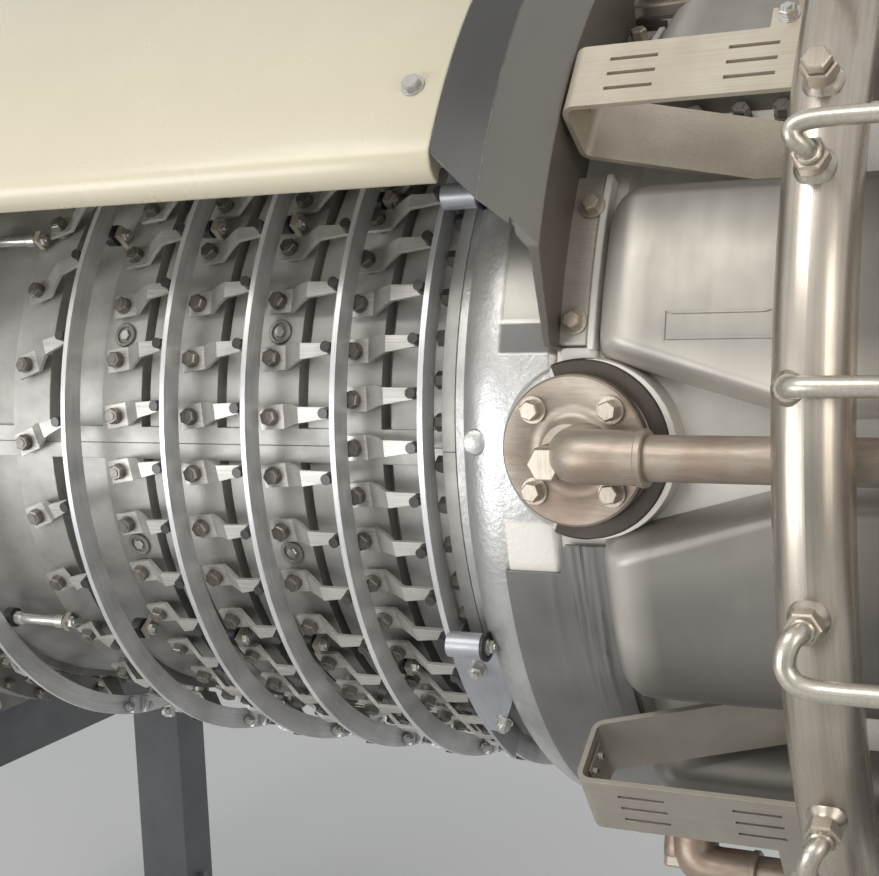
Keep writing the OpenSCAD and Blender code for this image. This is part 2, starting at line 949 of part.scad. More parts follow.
module strap_brackets() {
  slot = 44;
  color([0.72, 0.69, 0.63])
    for (k = [0:injectors - 1]) {
      side = k < injectors / 2 ? 1 : -1;
      on_case(strap_x, strap_r, injector_phase + (2 * k + 1) * sector) {
        difference() {
          translate([0, strap_width / 2, 0])
            rotate([90, 0, 0])
              linear_extrude(strap_width)
                strap_side();
          for (x = [38, strap_end_x - strap_x - 26 - slot])
            for (y = [-17, 0, 17])
              translate([x, y - 2, strap_height - 12])
                cube([slot, 4, 20]);
        }
        clamp_ear(side);
      }
      manifold_clamp(k, side);
    }
}

module arched_cover() {
  front_x = -1012;
  color([0.92, 0.89, 0.8])
    turned(180 - 2 * cover_angle, 90 + cover_angle)
      translate([cover_radius - cover_thick, front_x])
        square([cover_thick, cover_end_x - front_x]);
}

// the cover's brackets stand on three case flanges
bracket_x = [frame_end_x + 8, front_case_x - 8, case_end_x + 14];
bracket_seat = [inlet_case_r, case_front_r, flange_radius];

module cover_brackets() {
  color([0.6, 0.6, 0.58])
    for (t = [60, 120])
      for (i = [0:2])
        on_case(bracket_x[i], 0, t)
          translate([-5, -20, bracket_seat[i] + seat_gap])
            cube([10, 40, cover_radius - cover_thick - 2 * seat_gap
              - bracket_seat[i]]);
}

module turbine_case() {
  front = combustor_end_x + 0.2;
  shell = turbine_shell_r;
  flange = turbine_flange_r;
  back = turbine_end_x;
  color([0.6, 0.58, 0.55]) {
    turned()
      polygon([[0, front], [flange, front],
        [flange, front + 18], [shell + 6, front + 20],
        [shell, front + 56], [shell, front + 216],
        [shell + 22, front + 222], [shell + 22, front + 238],
        [shell + 6, front + 242], [shell + 18, back - 24],
        [shell + 70, back - 18], [shell + 70, back], [0, back]]);
    for (k = [0:11])
      on_case(back - 110, shell - 10, 15 + k * 30) {
        cylinder(d = 46, h = 38, $fn = 48);
        cylinder(d = 30, h = 52, $fn = 48);
      }
    for (k = [0, 180])
      on_case(front + 20, shell - 20, k)
        translate([0, -split_half, 0])
          cube([196, 2 * split_half, 34]);
  }
}

module exhaust_diffuser() {
  front = turbine_end_x + 0.2;
  joint_r = turbine_flange_r + 30;
  back = exhaust_face_x;
  mouth_r = exhaust_bolt_radius - 40;
  color([0.64, 0.62, 0.59]) {
    difference() {
      turned()
        polygon([[joint_r - 42, front], [joint_r, front],
          [joint_r, front + 18], [joint_r - 30, front + 22],
          [mouth_r, back - end_flange_thick],
          [exhaust_bolt_radius + end_flange_edge, back - end_flange_thick],
          [exhaust_bolt_radius + end_flange_edge, back],
          [mouth_r - 12, back]]);
      axial_holes(back - end_flange_thick - 1, exhaust_bolt_radius,
        end_bolts, end_bolt_d, end_flange_thick + 2);
    }
    for (i = [0:4])
      on_case(1180, hub_radius + 10, 36 + i * 72)
        linear_extrude(joint_r - hub_radius - 14)
          lens(132, 28);
  }
}

module exhaust_cone() {
  front = turbine_end_x + 0.2;
  color([0.5, 0.48, 0.46])
    turned()
      polygon([[0, front], [hub_radius + 14, front],
        [hub_radius + 4, front + 196], [150, front + 416],
        [40, front + 476], [0, front + 476]]);
}

// welded frame: two columns on foot plates, cross beam with a saddle
module pedestal(x, seat_r) {
  beam_z = 520;
  beam_top = axis_height - 200;
  translate([x, 0, 0]) {
    for (s = [-1, 1])
      translate([0, s * foot_span, 0]) {
        foot();
        translate([-50, -40, foot_plate_thick])
          cube([100, 80, beam_z - foot_plate_thick]);
        for (a = [0, 180])
          rotate([0, 0, a])
            gusset();
      }
    difference() {
      translate([-40, -foot_span - 40, beam_z])
        cube([80, 2 * foot_span + 80, beam_top - beam_z]);
      translate([-60, 0, axis_height])
        rotate([0, 90, 0])
          cylinder(r = seat_r + seat_gap, h = 120);
      for (s = [-1, 1])
        beam_corner(s, beam_z, beam_top);
    }
  }
}

// foot plate with its four anchor holes
module foot() {
  reach = foot_plate / 2 - anchor_edge;
  difference() {
    translate([-foot_plate / 2, -foot_plate / 2, 0])
      cube([foot_plate, foot_plate, foot_plate_thick]);
    for (a = [-1, 1])
      for (b = [-1, 1])
        translate([a * reach, b * reach, -1])
          cylinder(d = anchor_d, h = foot_plate_thick + 2);
  }
}

// triangular stiffener between a column and its foot plate
module gusset() {
  translate([0, 6, 0])
    rotate([90, 0, 0])
      linear_extrude(12)
        polygon([[49, foot_plate_thick - 1],
          [foot_plate / 2 - 6, foot_plate_thick - 1],
          [foot_plate / 2 - 6, foot_plate_thick + 14],
          [62, foot_plate_thick + 130], [49, foot_plate_thick + 130]]);
}

// wedge that slopes the top corners of a cross beam
module beam_corner(s, beam_z, beam_top) {
  edge = foot_span + 41;
  translate([-60, 0, 0])
    rotate([90, 0, 90])
      linear_extrude(120)
        polygon([[s * edge, beam_z + 110], [s * edge, beam_top + 1],
          [s * (edge - 130), beam_top + 1]]);
}

module front_pedestal() {
  color([0.5, 0.52, 0.54])
    pedestal(front_pedestal_x, throat_radius + inlet_wall);
}

module rear_pedestal() {
  color([0.5, 0.52, 0.54])
    pedestal(rear_pedestal_x, turbine_shell_r);
}

inlet_bellmouth_upper();
inlet_bellmouth_lower();
inlet_frame();
inlet_struts();
inlet_hub();
nose_cone();
inlet_guide_vanes();
guide_vane_hub();
inlet_case();
compressor_case_upper();
compressor_case_lower();
vane_stems_a();
vane_stems_b();
vane_stems_c();
vane_stems_d();
vane_stems_e();
vane_stems_f();
vane_levers_a();
vane_levers_b();
vane_levers_c();
vane_levers_d();
vane_levers_e();
vane_levers_f();
actuation_ring_a();
actuation_ring_b();
actuation_ring_c();
actuation_ring_d();
actuation_ring_e();
actuation_ring_f();
ring_rollers();
roller_posts();
ring_f_brackets();
diffuser_case();
apron_sheet();
bleed_hood();
combustor_case();
clamp_plates();
gasket_strips();
insulation_jackets();
injector_flanges();
injector_pipes();
fuel_manifold();
manifold_fittings();
manifold_feed_tubes();
strap_brackets();
arched_cover();
cover_brackets();
turbine_case();
exhaust_diffuser();
exhaust_cone();
front_pedestal();
rear_pedestal();
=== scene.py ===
"""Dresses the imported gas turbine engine: finishes, fasteners and fine fittings, camera and light."""

import json
import math

import bmesh
import bpy
from mathutils import Matrix, Vector, noise


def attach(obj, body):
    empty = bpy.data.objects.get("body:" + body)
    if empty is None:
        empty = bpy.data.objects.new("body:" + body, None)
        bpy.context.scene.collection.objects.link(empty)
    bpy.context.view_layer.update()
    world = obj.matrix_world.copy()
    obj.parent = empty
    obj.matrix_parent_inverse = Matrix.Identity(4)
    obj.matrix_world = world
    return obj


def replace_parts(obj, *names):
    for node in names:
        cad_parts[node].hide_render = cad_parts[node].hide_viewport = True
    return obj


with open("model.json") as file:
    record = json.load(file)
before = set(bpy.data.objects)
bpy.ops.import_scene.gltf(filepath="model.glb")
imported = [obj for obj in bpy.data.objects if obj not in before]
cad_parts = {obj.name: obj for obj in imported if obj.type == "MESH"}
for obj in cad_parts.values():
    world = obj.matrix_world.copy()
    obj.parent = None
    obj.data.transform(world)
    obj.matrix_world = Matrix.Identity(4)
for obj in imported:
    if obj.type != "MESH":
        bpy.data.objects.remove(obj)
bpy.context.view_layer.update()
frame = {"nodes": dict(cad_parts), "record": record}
scene = bpy.context.scene

MM = 0.001
AXIS_HEIGHT = 1100.0
INJECTOR_X = 140.0
INJECTOR_PHASE = 1.5
SECTOR = 36.0

# Vane rows from the intake on: stems, levers and rings
ROWS = "abcdef"
STEM_X = [-757, -563, -433.5, -332.5, -230, -131.3]
LEVER_LENGTH = [78, 80, 79.5, 80.5, 84, 84]
LEVER_SWING = [22, 20.5, 9, 7.5, 4, 4]
VANE_COUNT = [24, 28, 40, 40, 40, 50]
VANE_PHASE = [7.5, 0, 4.5, 4.5, 4.5, 0]
FOOT_TOP = 395.0
BALL_LEAD = 8
RING_OUTER = 432.0
RING_HEIGHT = 26
RING_THICK = 6.0


# Places


def place(x, radius, degrees):
    """Matrix of a spot on the engine, in metres: X along the axis, Y up round it, Z outward."""
    turn = math.radians(degrees)
    outward = Vector((0, -math.cos(turn), math.sin(turn)))
    upward = Vector((0, math.sin(turn), math.cos(turn)))
    spot = outward * radius + Vector((x, 0, AXIS_HEIGHT))
    along = (1, 0, 0)
    lines = [(along[i], upward[i], outward[i], spot[i] * MM) for i in range(3)]
    return Matrix((*lines, (0, 0, 0, 1)))


def polar(x, radius, degrees):
    """A point on the engine, in metres."""
    turn = math.radians(degrees)
    return Vector((x, -radius * math.cos(turn), AXIS_HEIGHT + radius * math.sin(turn))) * MM


def local(dx=0.0, dy=0.0, dz=0.0):
    """A small move in millimetres in a spot's own directions."""
    return Matrix.Translation(Vector((dx, dy, dz)) * MM)


def aim(degrees, axis):
    return Matrix.Rotation(math.radians(degrees), 4, axis)


AIM_FORWARD = aim(-90, "Y")
AIM_AFT = aim(90, "Y")


def ring_x(row):
    """Forward face of an actuation ring."""
    return STEM_X[row] + LEVER_LENGTH[row] * math.cos(math.radians(LEVER_SWING[row])) + BALL_LEAD


def lever_angles(row):
    return [VANE_PHASE[row] + k * 360 / VANE_COUNT[row] for k in range(VANE_COUNT[row])]


# Node trees


FLOAT, VECTOR = "NodeSocketFloat", "NodeSocketVector"

# Lines a metre along, round and out of a brushed surface
AROUND = (900.0, 12.0, 900.0)
ALONG = (12.0, 900.0, 900.0)
ROLLED = (40.0, 300.0, 300.0)


class Tree:
    """Adds and links nodes in a shader or geometry tree; any number may also be a socket."""

    def __init__(self, tree):
        self.tree = tree
        self.step = 0

    def put(self, node, inputs):
        for key, value in inputs.items():
            if isinstance(value, bpy.types.NodeSocket):
                self.tree.links.new(value, node.inputs[key])
            elif value is not None:
                node.inputs[key].default_value = value
        return node

    def add(self, kind, inputs=None, **settings):
        node = self.tree.nodes.new(kind)
        node.location = (self.step * 180, -(self.step % 4) * 160)
        self.step += 1
        for key, value in settings.items():
            setattr(node, key, value)
        return self.put(node, inputs or {})

    def use(self, group, **inputs):
        return self.add("ShaderNodeGroup", inputs, node_tree=group).outputs

    def maths(self, operation, a, b=None):
        return self.add("ShaderNodeMath", {0: a, 1: b}, operation=operation).outputs[0]

    def times(self, a, b):
        return self.maths("MULTIPLY", a, b)

    def scaled(self, vector, factors):
        return self.add("ShaderNodeVectorMath", {0: vector, 1: factors}, operation="MULTIPLY").outputs[0]

    def blend(self, factor, a, b):
        """Mixes two colours; a plain one has three numbers."""
        a, b = ((*c, 1) if isinstance(c, tuple) else c for c in (a, b))
        return self.add("ShaderNodeMix", {0: factor, 6: a, 7: b}, data_type="RGBA").outputs[2]

    def span(self, value, low, high, to_low=0.0, to_high=1.0):
        inputs = {0: value, 1: low, 2: high, 3: to_low, 4: to_high}
        return self.add("ShaderNodeMapRange", inputs, clamp=True).outputs[0]

    def clouds(self, vector, scale, detail, roughness=None):
        inputs = {"Vector": vector, "Scale": scale, "Detail": detail, "Roughness": roughness}
        return self.add("ShaderNodeTexNoise", inputs).outputs[0]


def shader_group(name, inputs, outputs):
    """A new group: its tree, the sockets that come in, and the node that takes what goes out."""
    group = bpy.data.node_groups.new(name, "ShaderNodeTree")
    for label, kind, value in inputs:
        socket = group.interface.new_socket(label, in_out="INPUT", socket_type=kind)
        if value is not None:
            socket.default_value = value
    for label, kind in outputs:
        group.interface.new_socket(label, in_out="OUTPUT", socket_type=kind)
    t = Tree(group)
    return t, t.add("NodeGroupInput").outputs, t.add("NodeGroupOutput")


def make_wrap_group():
    """Object coordinates turned into along, round and out, so that a pattern follows the casings."""
    t, _, leaving = shader_group("engine wrap", [],
                                 [("Wrap", VECTOR), ("Along", FLOAT), ("Round", FLOAT), ("Out", FLOAT)])
    parts = t.add("ShaderNodeSeparateXYZ", {0: t.add("ShaderNodeTexCoord").outputs["Object"]}).outputs
    up = t.maths("SUBTRACT", parts[2], AXIS_HEIGHT * MM)
    near = t.times(parts[1], -1.0)
    turn = t.maths("ARCTAN2", up, near)
    out = t.maths("SQRT", t.maths("ADD", t.times(up, up), t.times(near, near)))
    arc = t.times(turn, 0.42)
    wrap = t.add("ShaderNodeCombineXYZ", {0: parts[0], 1: arc, 2: out}).outputs[0]
    t.put(leaving, {"Wrap": wrap, "Along": parts[0], "Round": turn, "Out": out})
    return t.tree


def make_cast_group():
    """Sand cast or painted skin: a fine grain on a slow swell, blotches for colour, and pits."""
    t, entering, leaving = shader_group("cast skin", [("Vector", VECTOR, None), ("Grain", FLOAT, 400.0)],
                                        [("Height", FLOAT), ("Blotch", FLOAT), ("Speck", FLOAT)])
    v = entering["Vector"]
    fine = t.clouds(v, entering["Grain"], 3.0, 0.6)
    slow = t.clouds(v, 26.0, 2.0)
    pits = t.add("ShaderNodeTexVoronoi", {"Vector": v, "Scale": 240.0}).outputs["Distance"]
    speck = t.span(pits, 0.0, 0.16, 1.0, 0.0)
    height = t.maths("ADD", t.times(fine, 0.35), t.times(slow, 0.65))
    height = t.maths("SUBTRACT", height, t.times(speck, 0.12))
    t.put(leaving, {"Height": height, "Blotch": t.clouds(v, 9.0, 5.0, 0.62), "Speck": speck})
    return t.tree


def make_brush_group():
    """Fine lines left by turning or brushing, drawn out along the direction with the low scale."""
    t, entering, leaving = shader_group("brush lines", [("Vector", VECTOR, None), ("Stretch", VECTOR, AROUND)],
                                        [("Line", FLOAT), ("Sheen", FLOAT)])
    v = entering["Vector"]
    line = t.clouds(t.scaled(v, entering["Stretch"]), 1.0, 2.0, 0.7)
    t.put(leaving, {"Line": line, "Sheen": t.clouds(v, 17.0, 3.0)})
    return t.tree


def make_edge_group():
    """A softened edge normal, and a mask of the edges where handling has rubbed the surface."""
    t, entering, leaving = shader_group("worn edge", [("Radius", FLOAT, 0.0015), ("Vector", VECTOR, None)],
                                        [("Normal", VECTOR), ("Rub", FLOAT)])
    soft = t.add("ShaderNodeBevel", {"Radius": entering["Radius"]}, samples=2).outputs[0]
    plain = t.add("ShaderNodeNewGeometry").outputs["Normal"]
    same = t.add("ShaderNodeVectorMath", {0: soft, 1: plain}, operation="DOT_PRODUCT").outputs["Value"]
    chips = t.clouds(entering["Vector"], 120.0, 3.0)
    rub = t.times(t.span(same, 0.88, 0.995, 1.0, 0.0), t.span(chips, 0.42, 0.62))
    t.put(leaving, {"Normal": soft, "Rub": rub})
    return t.tree


WRAP = make_wrap_group()
CAST = make_cast_group()
BRUSH = make_brush_group()
EDGE = make_edge_group()


# Finishes


def tone(colour, factor, top=1.0):
    return tuple(min(top, c * factor) for c in colour)


class Finish(Tree):
    """A material with one shader, coordinates that follow the engine, and worn edges."""

    def __init__(self, name, metallic, edge, coat=0.0):
        self.material = bpy.data.materials.new(name)
        self.material.use_nodes = True
        self.material.node_tree.nodes.clear()
        super().__init__(self.material.node_tree)
        self.shader = self.add("ShaderNodeBsdfPrincipled",
                               {"Metallic": metallic, "Coat Weight": coat, "Coat Roughness": 0.1})
        self.add("ShaderNodeOutputMaterial", {0: self.shader.outputs[0]})
        wrap = self.use(WRAP)
        self.v, self.along, self.turn, self.out = wrap["Wrap"], wrap["Along"], wrap["Round"], wrap["Out"]
        self.worn = self.use(EDGE, Radius=edge, Vector=self.v)

    def turned(self, low, high, to_low=0.0, to_high=1.0):
        """Mask over the angle round the engine, in degrees."""
        return self.span(self.turn, math.radians(low), math.radians(high), to_low, to_high)

    def injector_wave(self):
        """1 at each injector and -1 half way between two."""
        from_injector = self.maths("SUBTRACT", self.turn, math.radians(INJECTOR_PHASE))
        return self.maths("COSINE", self.times(from_injector, 5.0))

    def paint_under_shade(self, base, under_shade):
        """Painted shade: darkens the underside with a colour, from the angle where it starts to the angle where it is
        full, at a strength.
        """
        if under_shade is None:
            return base
        colour, start, full, strength = under_shade
        cloud = self.span(self.clouds(self.v, 13.0, 4.0), 0.3, 0.62, 0.75, 1.0)
        return self.blend(self.times(self.turned(start, full, 0.0, strength), cloud), base, colour)

    def done(self, base, rub, rough, height, depth):
        """Rubs the edges and links colour, roughness and relief to the shader."""
        bump = self.add("ShaderNodeBump", {"Strength": 1.0, "Distance": depth, "Height": height,
                                           "Normal": self.worn["Normal"]})
        self.put(self.shader, {"Base Color": self.blend(self.worn["Rub"], base, rub), "Roughness": rough,
                               "Normal": bump.outputs[0]})
        return self.material


def cast_finish(name, pale, dark, rub, rough, depth, metallic=0.0, edge=0.0015, coat=0.0, under_shade=None):
    """Painted, sprayed or as-cast casting."""
    f = Finish(name, metallic, edge, coat)
    cast = f.use(CAST, Vector=f.v, Grain=400.0)
    base = f.blend(f.span(cast["Blotch"], 0.35, 0.65), pale, dark)
    base = f.paint_under_shade(f.blend(f.times(cast["Speck"], 0.25), base, tone(dark, 0.55)), under_shade)
    return f.done(base, rub, f.span(cast["Blotch"], 0.3, 0.7, *rough), cast["Height"], depth)


def brushed_finish(name, bright, dull, stretch, rough, metallic, edge=0.0008, tint=None, under_shade=None, painted_light_and_shade=False):
    """Machined, rolled or drawn metal; stretch draws its lines out, tint is a colour, a scale and a strength; the
    jacket option lays on painted highlights and painted strap shadows.
    """
    f = Finish(name, metallic, edge)
    lines = f.use(BRUSH, Vector=f.v, Stretch=stretch)
    mixed = f.maths("ADD", f.times(lines["Line"], 0.45), f.times(lines["Sheen"], 0.55))
    base = f.blend(f.span(mixed, 0.38, 0.62), dull, bright)
    if tint is not None:
        colour, scale, strength = tint
        base = f.blend(f.span(f.clouds(f.v, scale, 4.0, 0.6), 0.42, 0.62, 0.0, strength), base, colour)
    base = f.paint_under_shade(base, under_shade)
    if painted_light_and_shade:
        wave = f.injector_wave()
        # Painted highlight on the jacket edges beside the injectors, on the upper half
        pale = f.times(f.span(wave, 0.5, 0.82, 0.0, 0.75), f.turned(0.0, 2.0))
        # Painted highlight on the rounded front shoulder of the jackets
        shoulder = f.times(f.span(f.along, 0.156, 0.172, 0.0, 0.6), f.span(f.along, 0.176, 0.212, 1.0, 0.0))
        base = f.blend(pale, base, tone(bright, 1.8, 0.9))
        base = f.blend(shoulder, base, tone(bright, 1.9, 0.9))
        # Painted shadow of the straps, half way between the injectors
        base = f.blend(f.span(wave, -0.25, -0.78, 0.0, 0.85), base, tone(dull, 0.4))
    return f.done(base, tone(bright, 1.25), f.span(mixed, 0.3, 0.7, rough[1], rough[0]), lines["Line"], 0.00006)


def hood_finish():
    """Hood paint: painted shade on the dark outside, painted light on the pale sloping shoulder, brown grey on the
    rear wall.
    """
    f = Finish("hood paint", 0.15, 0.002)
    cast = f.use(CAST, Vector=f.v, Grain=300.0)
    streak = f.clouds(f.scaled(f.v, (30.0, 6.0, 8.0)), 1.0, 4.0)
    # Lit and shaded copies of one grey: dark is painted shade, pale is painted light
    dark = f.blend(streak, (0.042, 0.041, 0.039), (0.056, 0.054, 0.050))
    pale = f.blend(streak, (0.180, 0.172, 0.157), (0.232, 0.222, 0.20))
    brown = f.blend(streak, (0.115, 0.098, 0.080), (0.165, 0.145, 0.122))
    wall = f.times(f.span(f.out, 0.5535, 0.5565, 1.0, 0.0), f.span(f.along, 0.1, 0.105))
    base = f.blend(wall, f.blend(f.span(f.along, 0.0868, 0.0892), dark, pale), brown)
    return f.done(base, (0.36, 0.35, 0.33), f.span(cast["Blotch"], 0.3, 0.7, 0.36, 0.52), cast["Height"], 0.00012)


def apron_finish():
    """Grey sheet, darker in streaks over its creased strip below the first injector."""
    f = Finish("apron sheet", 0.45, 0.0012)
    cloud = f.clouds(f.v, 9.0, 4.0)
    base = f.blend(f.span(cloud, 0.35, 0.65), (0.225, 0.22, 0.213), (0.155, 0.151, 0.145))
    # Streaks drawn out round the engine, for the darker streaks and the relief
    runs = f.clouds(f.scaled(f.v, (230.0, 7.0, 30.0)), 1.0, 3.0)
    dark_streaks = f.times(f.span(f.along, 0.116, 0.126), f.span(f.along, 0.146, 0.154, 1.0, 0.0))
    dark_streaks = f.times(f.times(dark_streaks, f.turned(-26, -11)), f.span(runs, 0.5, 0.6, 0.0, 0.85))
    base = f.blend(dark_streaks, base, (0.052, 0.044, 0.036))
    return f.done(base, (0.40, 0.39, 0.37), f.span(cloud, 0.3, 0.7, 0.34, 0.46), runs, 0.00015)


def diffuser_finish():
    """Silver coat: rough on the bulge and round the injectors, smooth on the band, with a painted dark reflection in a
    strip above the first injector and a painted bright reflection in a patch below it.
    """
    f = Finish("diffuser coat", 0.7, 0.0015)
    cast = f.use(CAST, Vector=f.v, Grain=210.0)
    band = f.span(f.along, 0.056, 0.060)
    smooth = f.times(band, f.span(f.injector_wave(), 0.26, 0.34, 1.0, 0.0))
    # Painted reflection: a dark strip on the band above the first injector
    painted_dark_reflection = f.times(band, f.times(f.turned(12.3, 12.6), f.turned(15.8, 16.1, 1.0, 0.0)))
    # Painted reflection: a pale patch below the first injector
    painted_bright_reflection = f.times(f.span(f.along, 0.060, 0.061), f.times(f.turned(-13.9, -13.6), f.turned(-7.6, -7.0, 1.0, 0.0)))
    base = f.blend(f.span(cast["Blotch"], 0.35, 0.65), (0.62, 0.615, 0.60), (0.36, 0.355, 0.345))
    base = f.blend(f.times(cast["Speck"], 0.35), base, (0.24, 0.235, 0.225))
    base = f.blend(f.times(smooth, 0.85), base, (0.30, 0.29, 0.258))
    base = f.blend(f.times(painted_dark_reflection, 0.9), base, (0.135, 0.13, 0.122))
    base = f.blend(painted_bright_reflection, base, (0.86, 0.83, 0.76))
    f.put(f.shader, {"Metallic": f.span(f.maths("MAXIMUM", painted_bright_reflection, painted_dark_reflection), 0.0, 1.0, 0.7, 0.1)})
    height = f.times(cast["Height"], f.span(f.maths("MAXIMUM", smooth, painted_dark_reflection), 0.0, 1.0, 1.0, 0.12))
    return f.done(base, (0.52, 0.52, 0.51), f.span(cast["Blotch"], 0.3, 0.7, 0.30, 0.44), height, 0.0016)


FINE_EDGE = 0.0006

finishes = {
    # The case gets painted shade on its underside.
    "cast_case_paint": cast_finish("case paint", (0.52, 0.508, 0.475), (0.34, 0.332, 0.31), (0.66, 0.65, 0.62),
        (0.34, 0.5), 0.0003, 0.3, under_shade=((0.10, 0.096, 0.088), -6.0, -34.0, 0.8)),
    "inlet_paint": cast_finish("intake paint", (0.62, 0.59, 0.50), (0.54, 0.51, 0.43), (0.36, 0.35, 0.33),
        (0.3, 0.42), 0.00012),
    "ring_steel": brushed_finish("ring steel", (0.74, 0.735, 0.73), (0.50, 0.50, 0.505), AROUND, (0.26, 0.42), 0.5),
    "lever_steel": brushed_finish("lever steel", (0.60, 0.585, 0.55), (0.36, 0.35, 0.325), ALONG,
        (0.32, 0.5), 0.55, FINE_EDGE),
    "stem_steel": brushed_finish("stem steel", (0.36, 0.35, 0.32), (0.20, 0.195, 0.18), AROUND, (0.32, 0.48), 0.65),
    "roller_black": cast_finish("roller sleeve", (0.028, 0.028, 0.03), (0.018, 0.018, 0.019), (0.07, 0.07, 0.07),
        (0.42, 0.55), 0.0001),
    # The strap strips get painted shade low on the engine.
    "bracket_steel": brushed_finish("bracket strip", (0.64, 0.575, 0.47), (0.50, 0.445, 0.36), ALONG,
        (0.36, 0.52), 0.45, tint=((0.44, 0.37, 0.28), 11.0, 0.35),
        under_shade=((0.24, 0.225, 0.205), -18.0, -28.0, 0.65)),
    "diffuser_cast": diffuser_finish(),
    "collector_grey": hood_finish(),
    "apron_grey": apron_finish(),
    "combustor_light": cast_finish("combustor skin", (0.78, 0.75, 0.69), (0.66, 0.63, 0.57), (0.56, 0.53, 0.46),
        (0.4, 0.55), 0.0004, 0.1),
    "heat_tint_steel": brushed_finish("heat tinted steel", (0.44, 0.385, 0.32), (0.31, 0.265, 0.22), ROLLED,
        (0.34, 0.5), 0.5, tint=((0.29, 0.19, 0.13), 13.0, 0.6)),
    "clamp_steel": brushed_finish("clamp steel", (0.60, 0.55, 0.485), (0.46, 0.415, 0.36), ROLLED,
        (0.36, 0.5), 0.4, tint=((0.40, 0.34, 0.28), 9.0, 0.4)),
    "gasket_pale": cast_finish("gasket weave", (0.93, 0.90, 0.82), (0.84, 0.81, 0.73), (0.62, 0.59, 0.52),
        (0.7, 0.85), 0.0002),
    # Jackets: painted shade on the lower ones, painted highlights, and painted strap shadows
    "jacket_stainless": brushed_finish("jacket foil", (0.37, 0.348, 0.308), (0.31, 0.29, 0.255), (40.0, 10.0, 40.0),
        (0.38, 0.5), 0.45, tint=((0.27, 0.255, 0.235), 5.0, 0.4),
        under_shade=((0.13, 0.125, 0.12), -6.0, -15.0, 0.7), painted_light_and_shade=True),
    "manifold_stainless": brushed_finish("manifold tube", (0.56, 0.51, 0.44), (0.42, 0.375, 0.315),
        (260.0, 6.0, 260.0), (0.22, 0.34), 0.85, tint=((0.33, 0.28, 0.225), 7.0, 0.4)),
    "cover_cream": cast_finish("cover paint", (0.69, 0.63, 0.475), (0.66, 0.60, 0.45), (0.42, 0.39, 0.32),
        (0.24, 0.34), 0.00008, edge=0.004, coat=0.2),
    "turbine_metal": brushed_finish("turbine alloy", (0.30, 0.265, 0.225), (0.175, 0.152, 0.128), AROUND,
        (0.34, 0.52), 0.7, tint=((0.19, 0.14, 0.11), 6.0, 0.5)),
    "pedestal_grey": cast_finish("pedestal paint", (0.115, 0.122, 0.132), (0.09, 0.096, 0.105), (0.28, 0.28, 0.28),
        (0.35, 0.5), 0.0002),
    "nut_dark": brushed_finish("nut steel", (0.27, 0.25, 0.22), (0.14, 0.13, 0.115), AROUND,
        (0.28, 0.44), 0.7, FINE_EDGE),
    "tip_dark": brushed_finish("lever tip", (0.085, 0.08, 0.075), (0.05, 0.047, 0.044), AROUND,
        (0.2, 0.3), 0.4, FINE_EDGE),
    "nut_bright": brushed_finish("bright bolt", (0.66, 0.645, 0.61), (0.46, 0.45, 0.425), AROUND,
        (0.2, 0.34), 0.8, FINE_EDGE),
    "bolt_tinted": brushed_finish("heat tinted bolt", (0.56, 0.50, 0.42), (0.38, 0.33, 0.27), AROUND,
        (0.26, 0.4), 0.65, FINE_EDGE),
    # Painted shade: a dark brown for the shrouds round the injector seats
    "seat_brown": cast_finish("seat painted shade", (0.075, 0.058, 0.045), (0.045, 0.036, 0.029), (0.16, 0.13, 0.10),
        (0.45, 0.6), 0.0003, 0.3),
    "tube_stainless": brushed_finish("small tube", (0.60, 0.56, 0.49), (0.46, 0.42, 0.36), (300.0, 300.0, 300.0),
        (0.24, 0.38), 0.75),
    "bracket_blue": brushed_finish("roller bracket", (0.47, 0.485, 0.52), (0.34, 0.35, 0.375), AROUND,
        (0.3, 0.44), 0.5, 0.001),
}

slot_of = {s["node"]: s["material_slot"] for s in frame["record"]["subparts"]}
for name, piece in frame["nodes"].items():
    piece.data.materials.clear()
    piece.data.materials.append(finishes[slot_of[name]])


# Making pieces


def new_piece(name, mesh, finish, smooth):
    """Puts a mesh in the scene; edges sharper than the smooth angle, in degrees, stay sharp."""
    piece = bpy.data.objects.new(name, mesh)
    scene.collection.objects.link(piece)
    mesh.materials.clear()
    mesh.materials.append(finishes[finish])
    for polygon in mesh.polygons:
        polygon.use_smooth = True
    mesh.set_sharp_from_angle(angle=math.radians(smooth))
    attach(piece, "root")
    return piece


FASTENER_SIZES = {"Across flats": 13, "Head height": 8, "Washer radius": 11, "Washer height": 2,
                  "Stud radius": 4, "Stud height": 9}


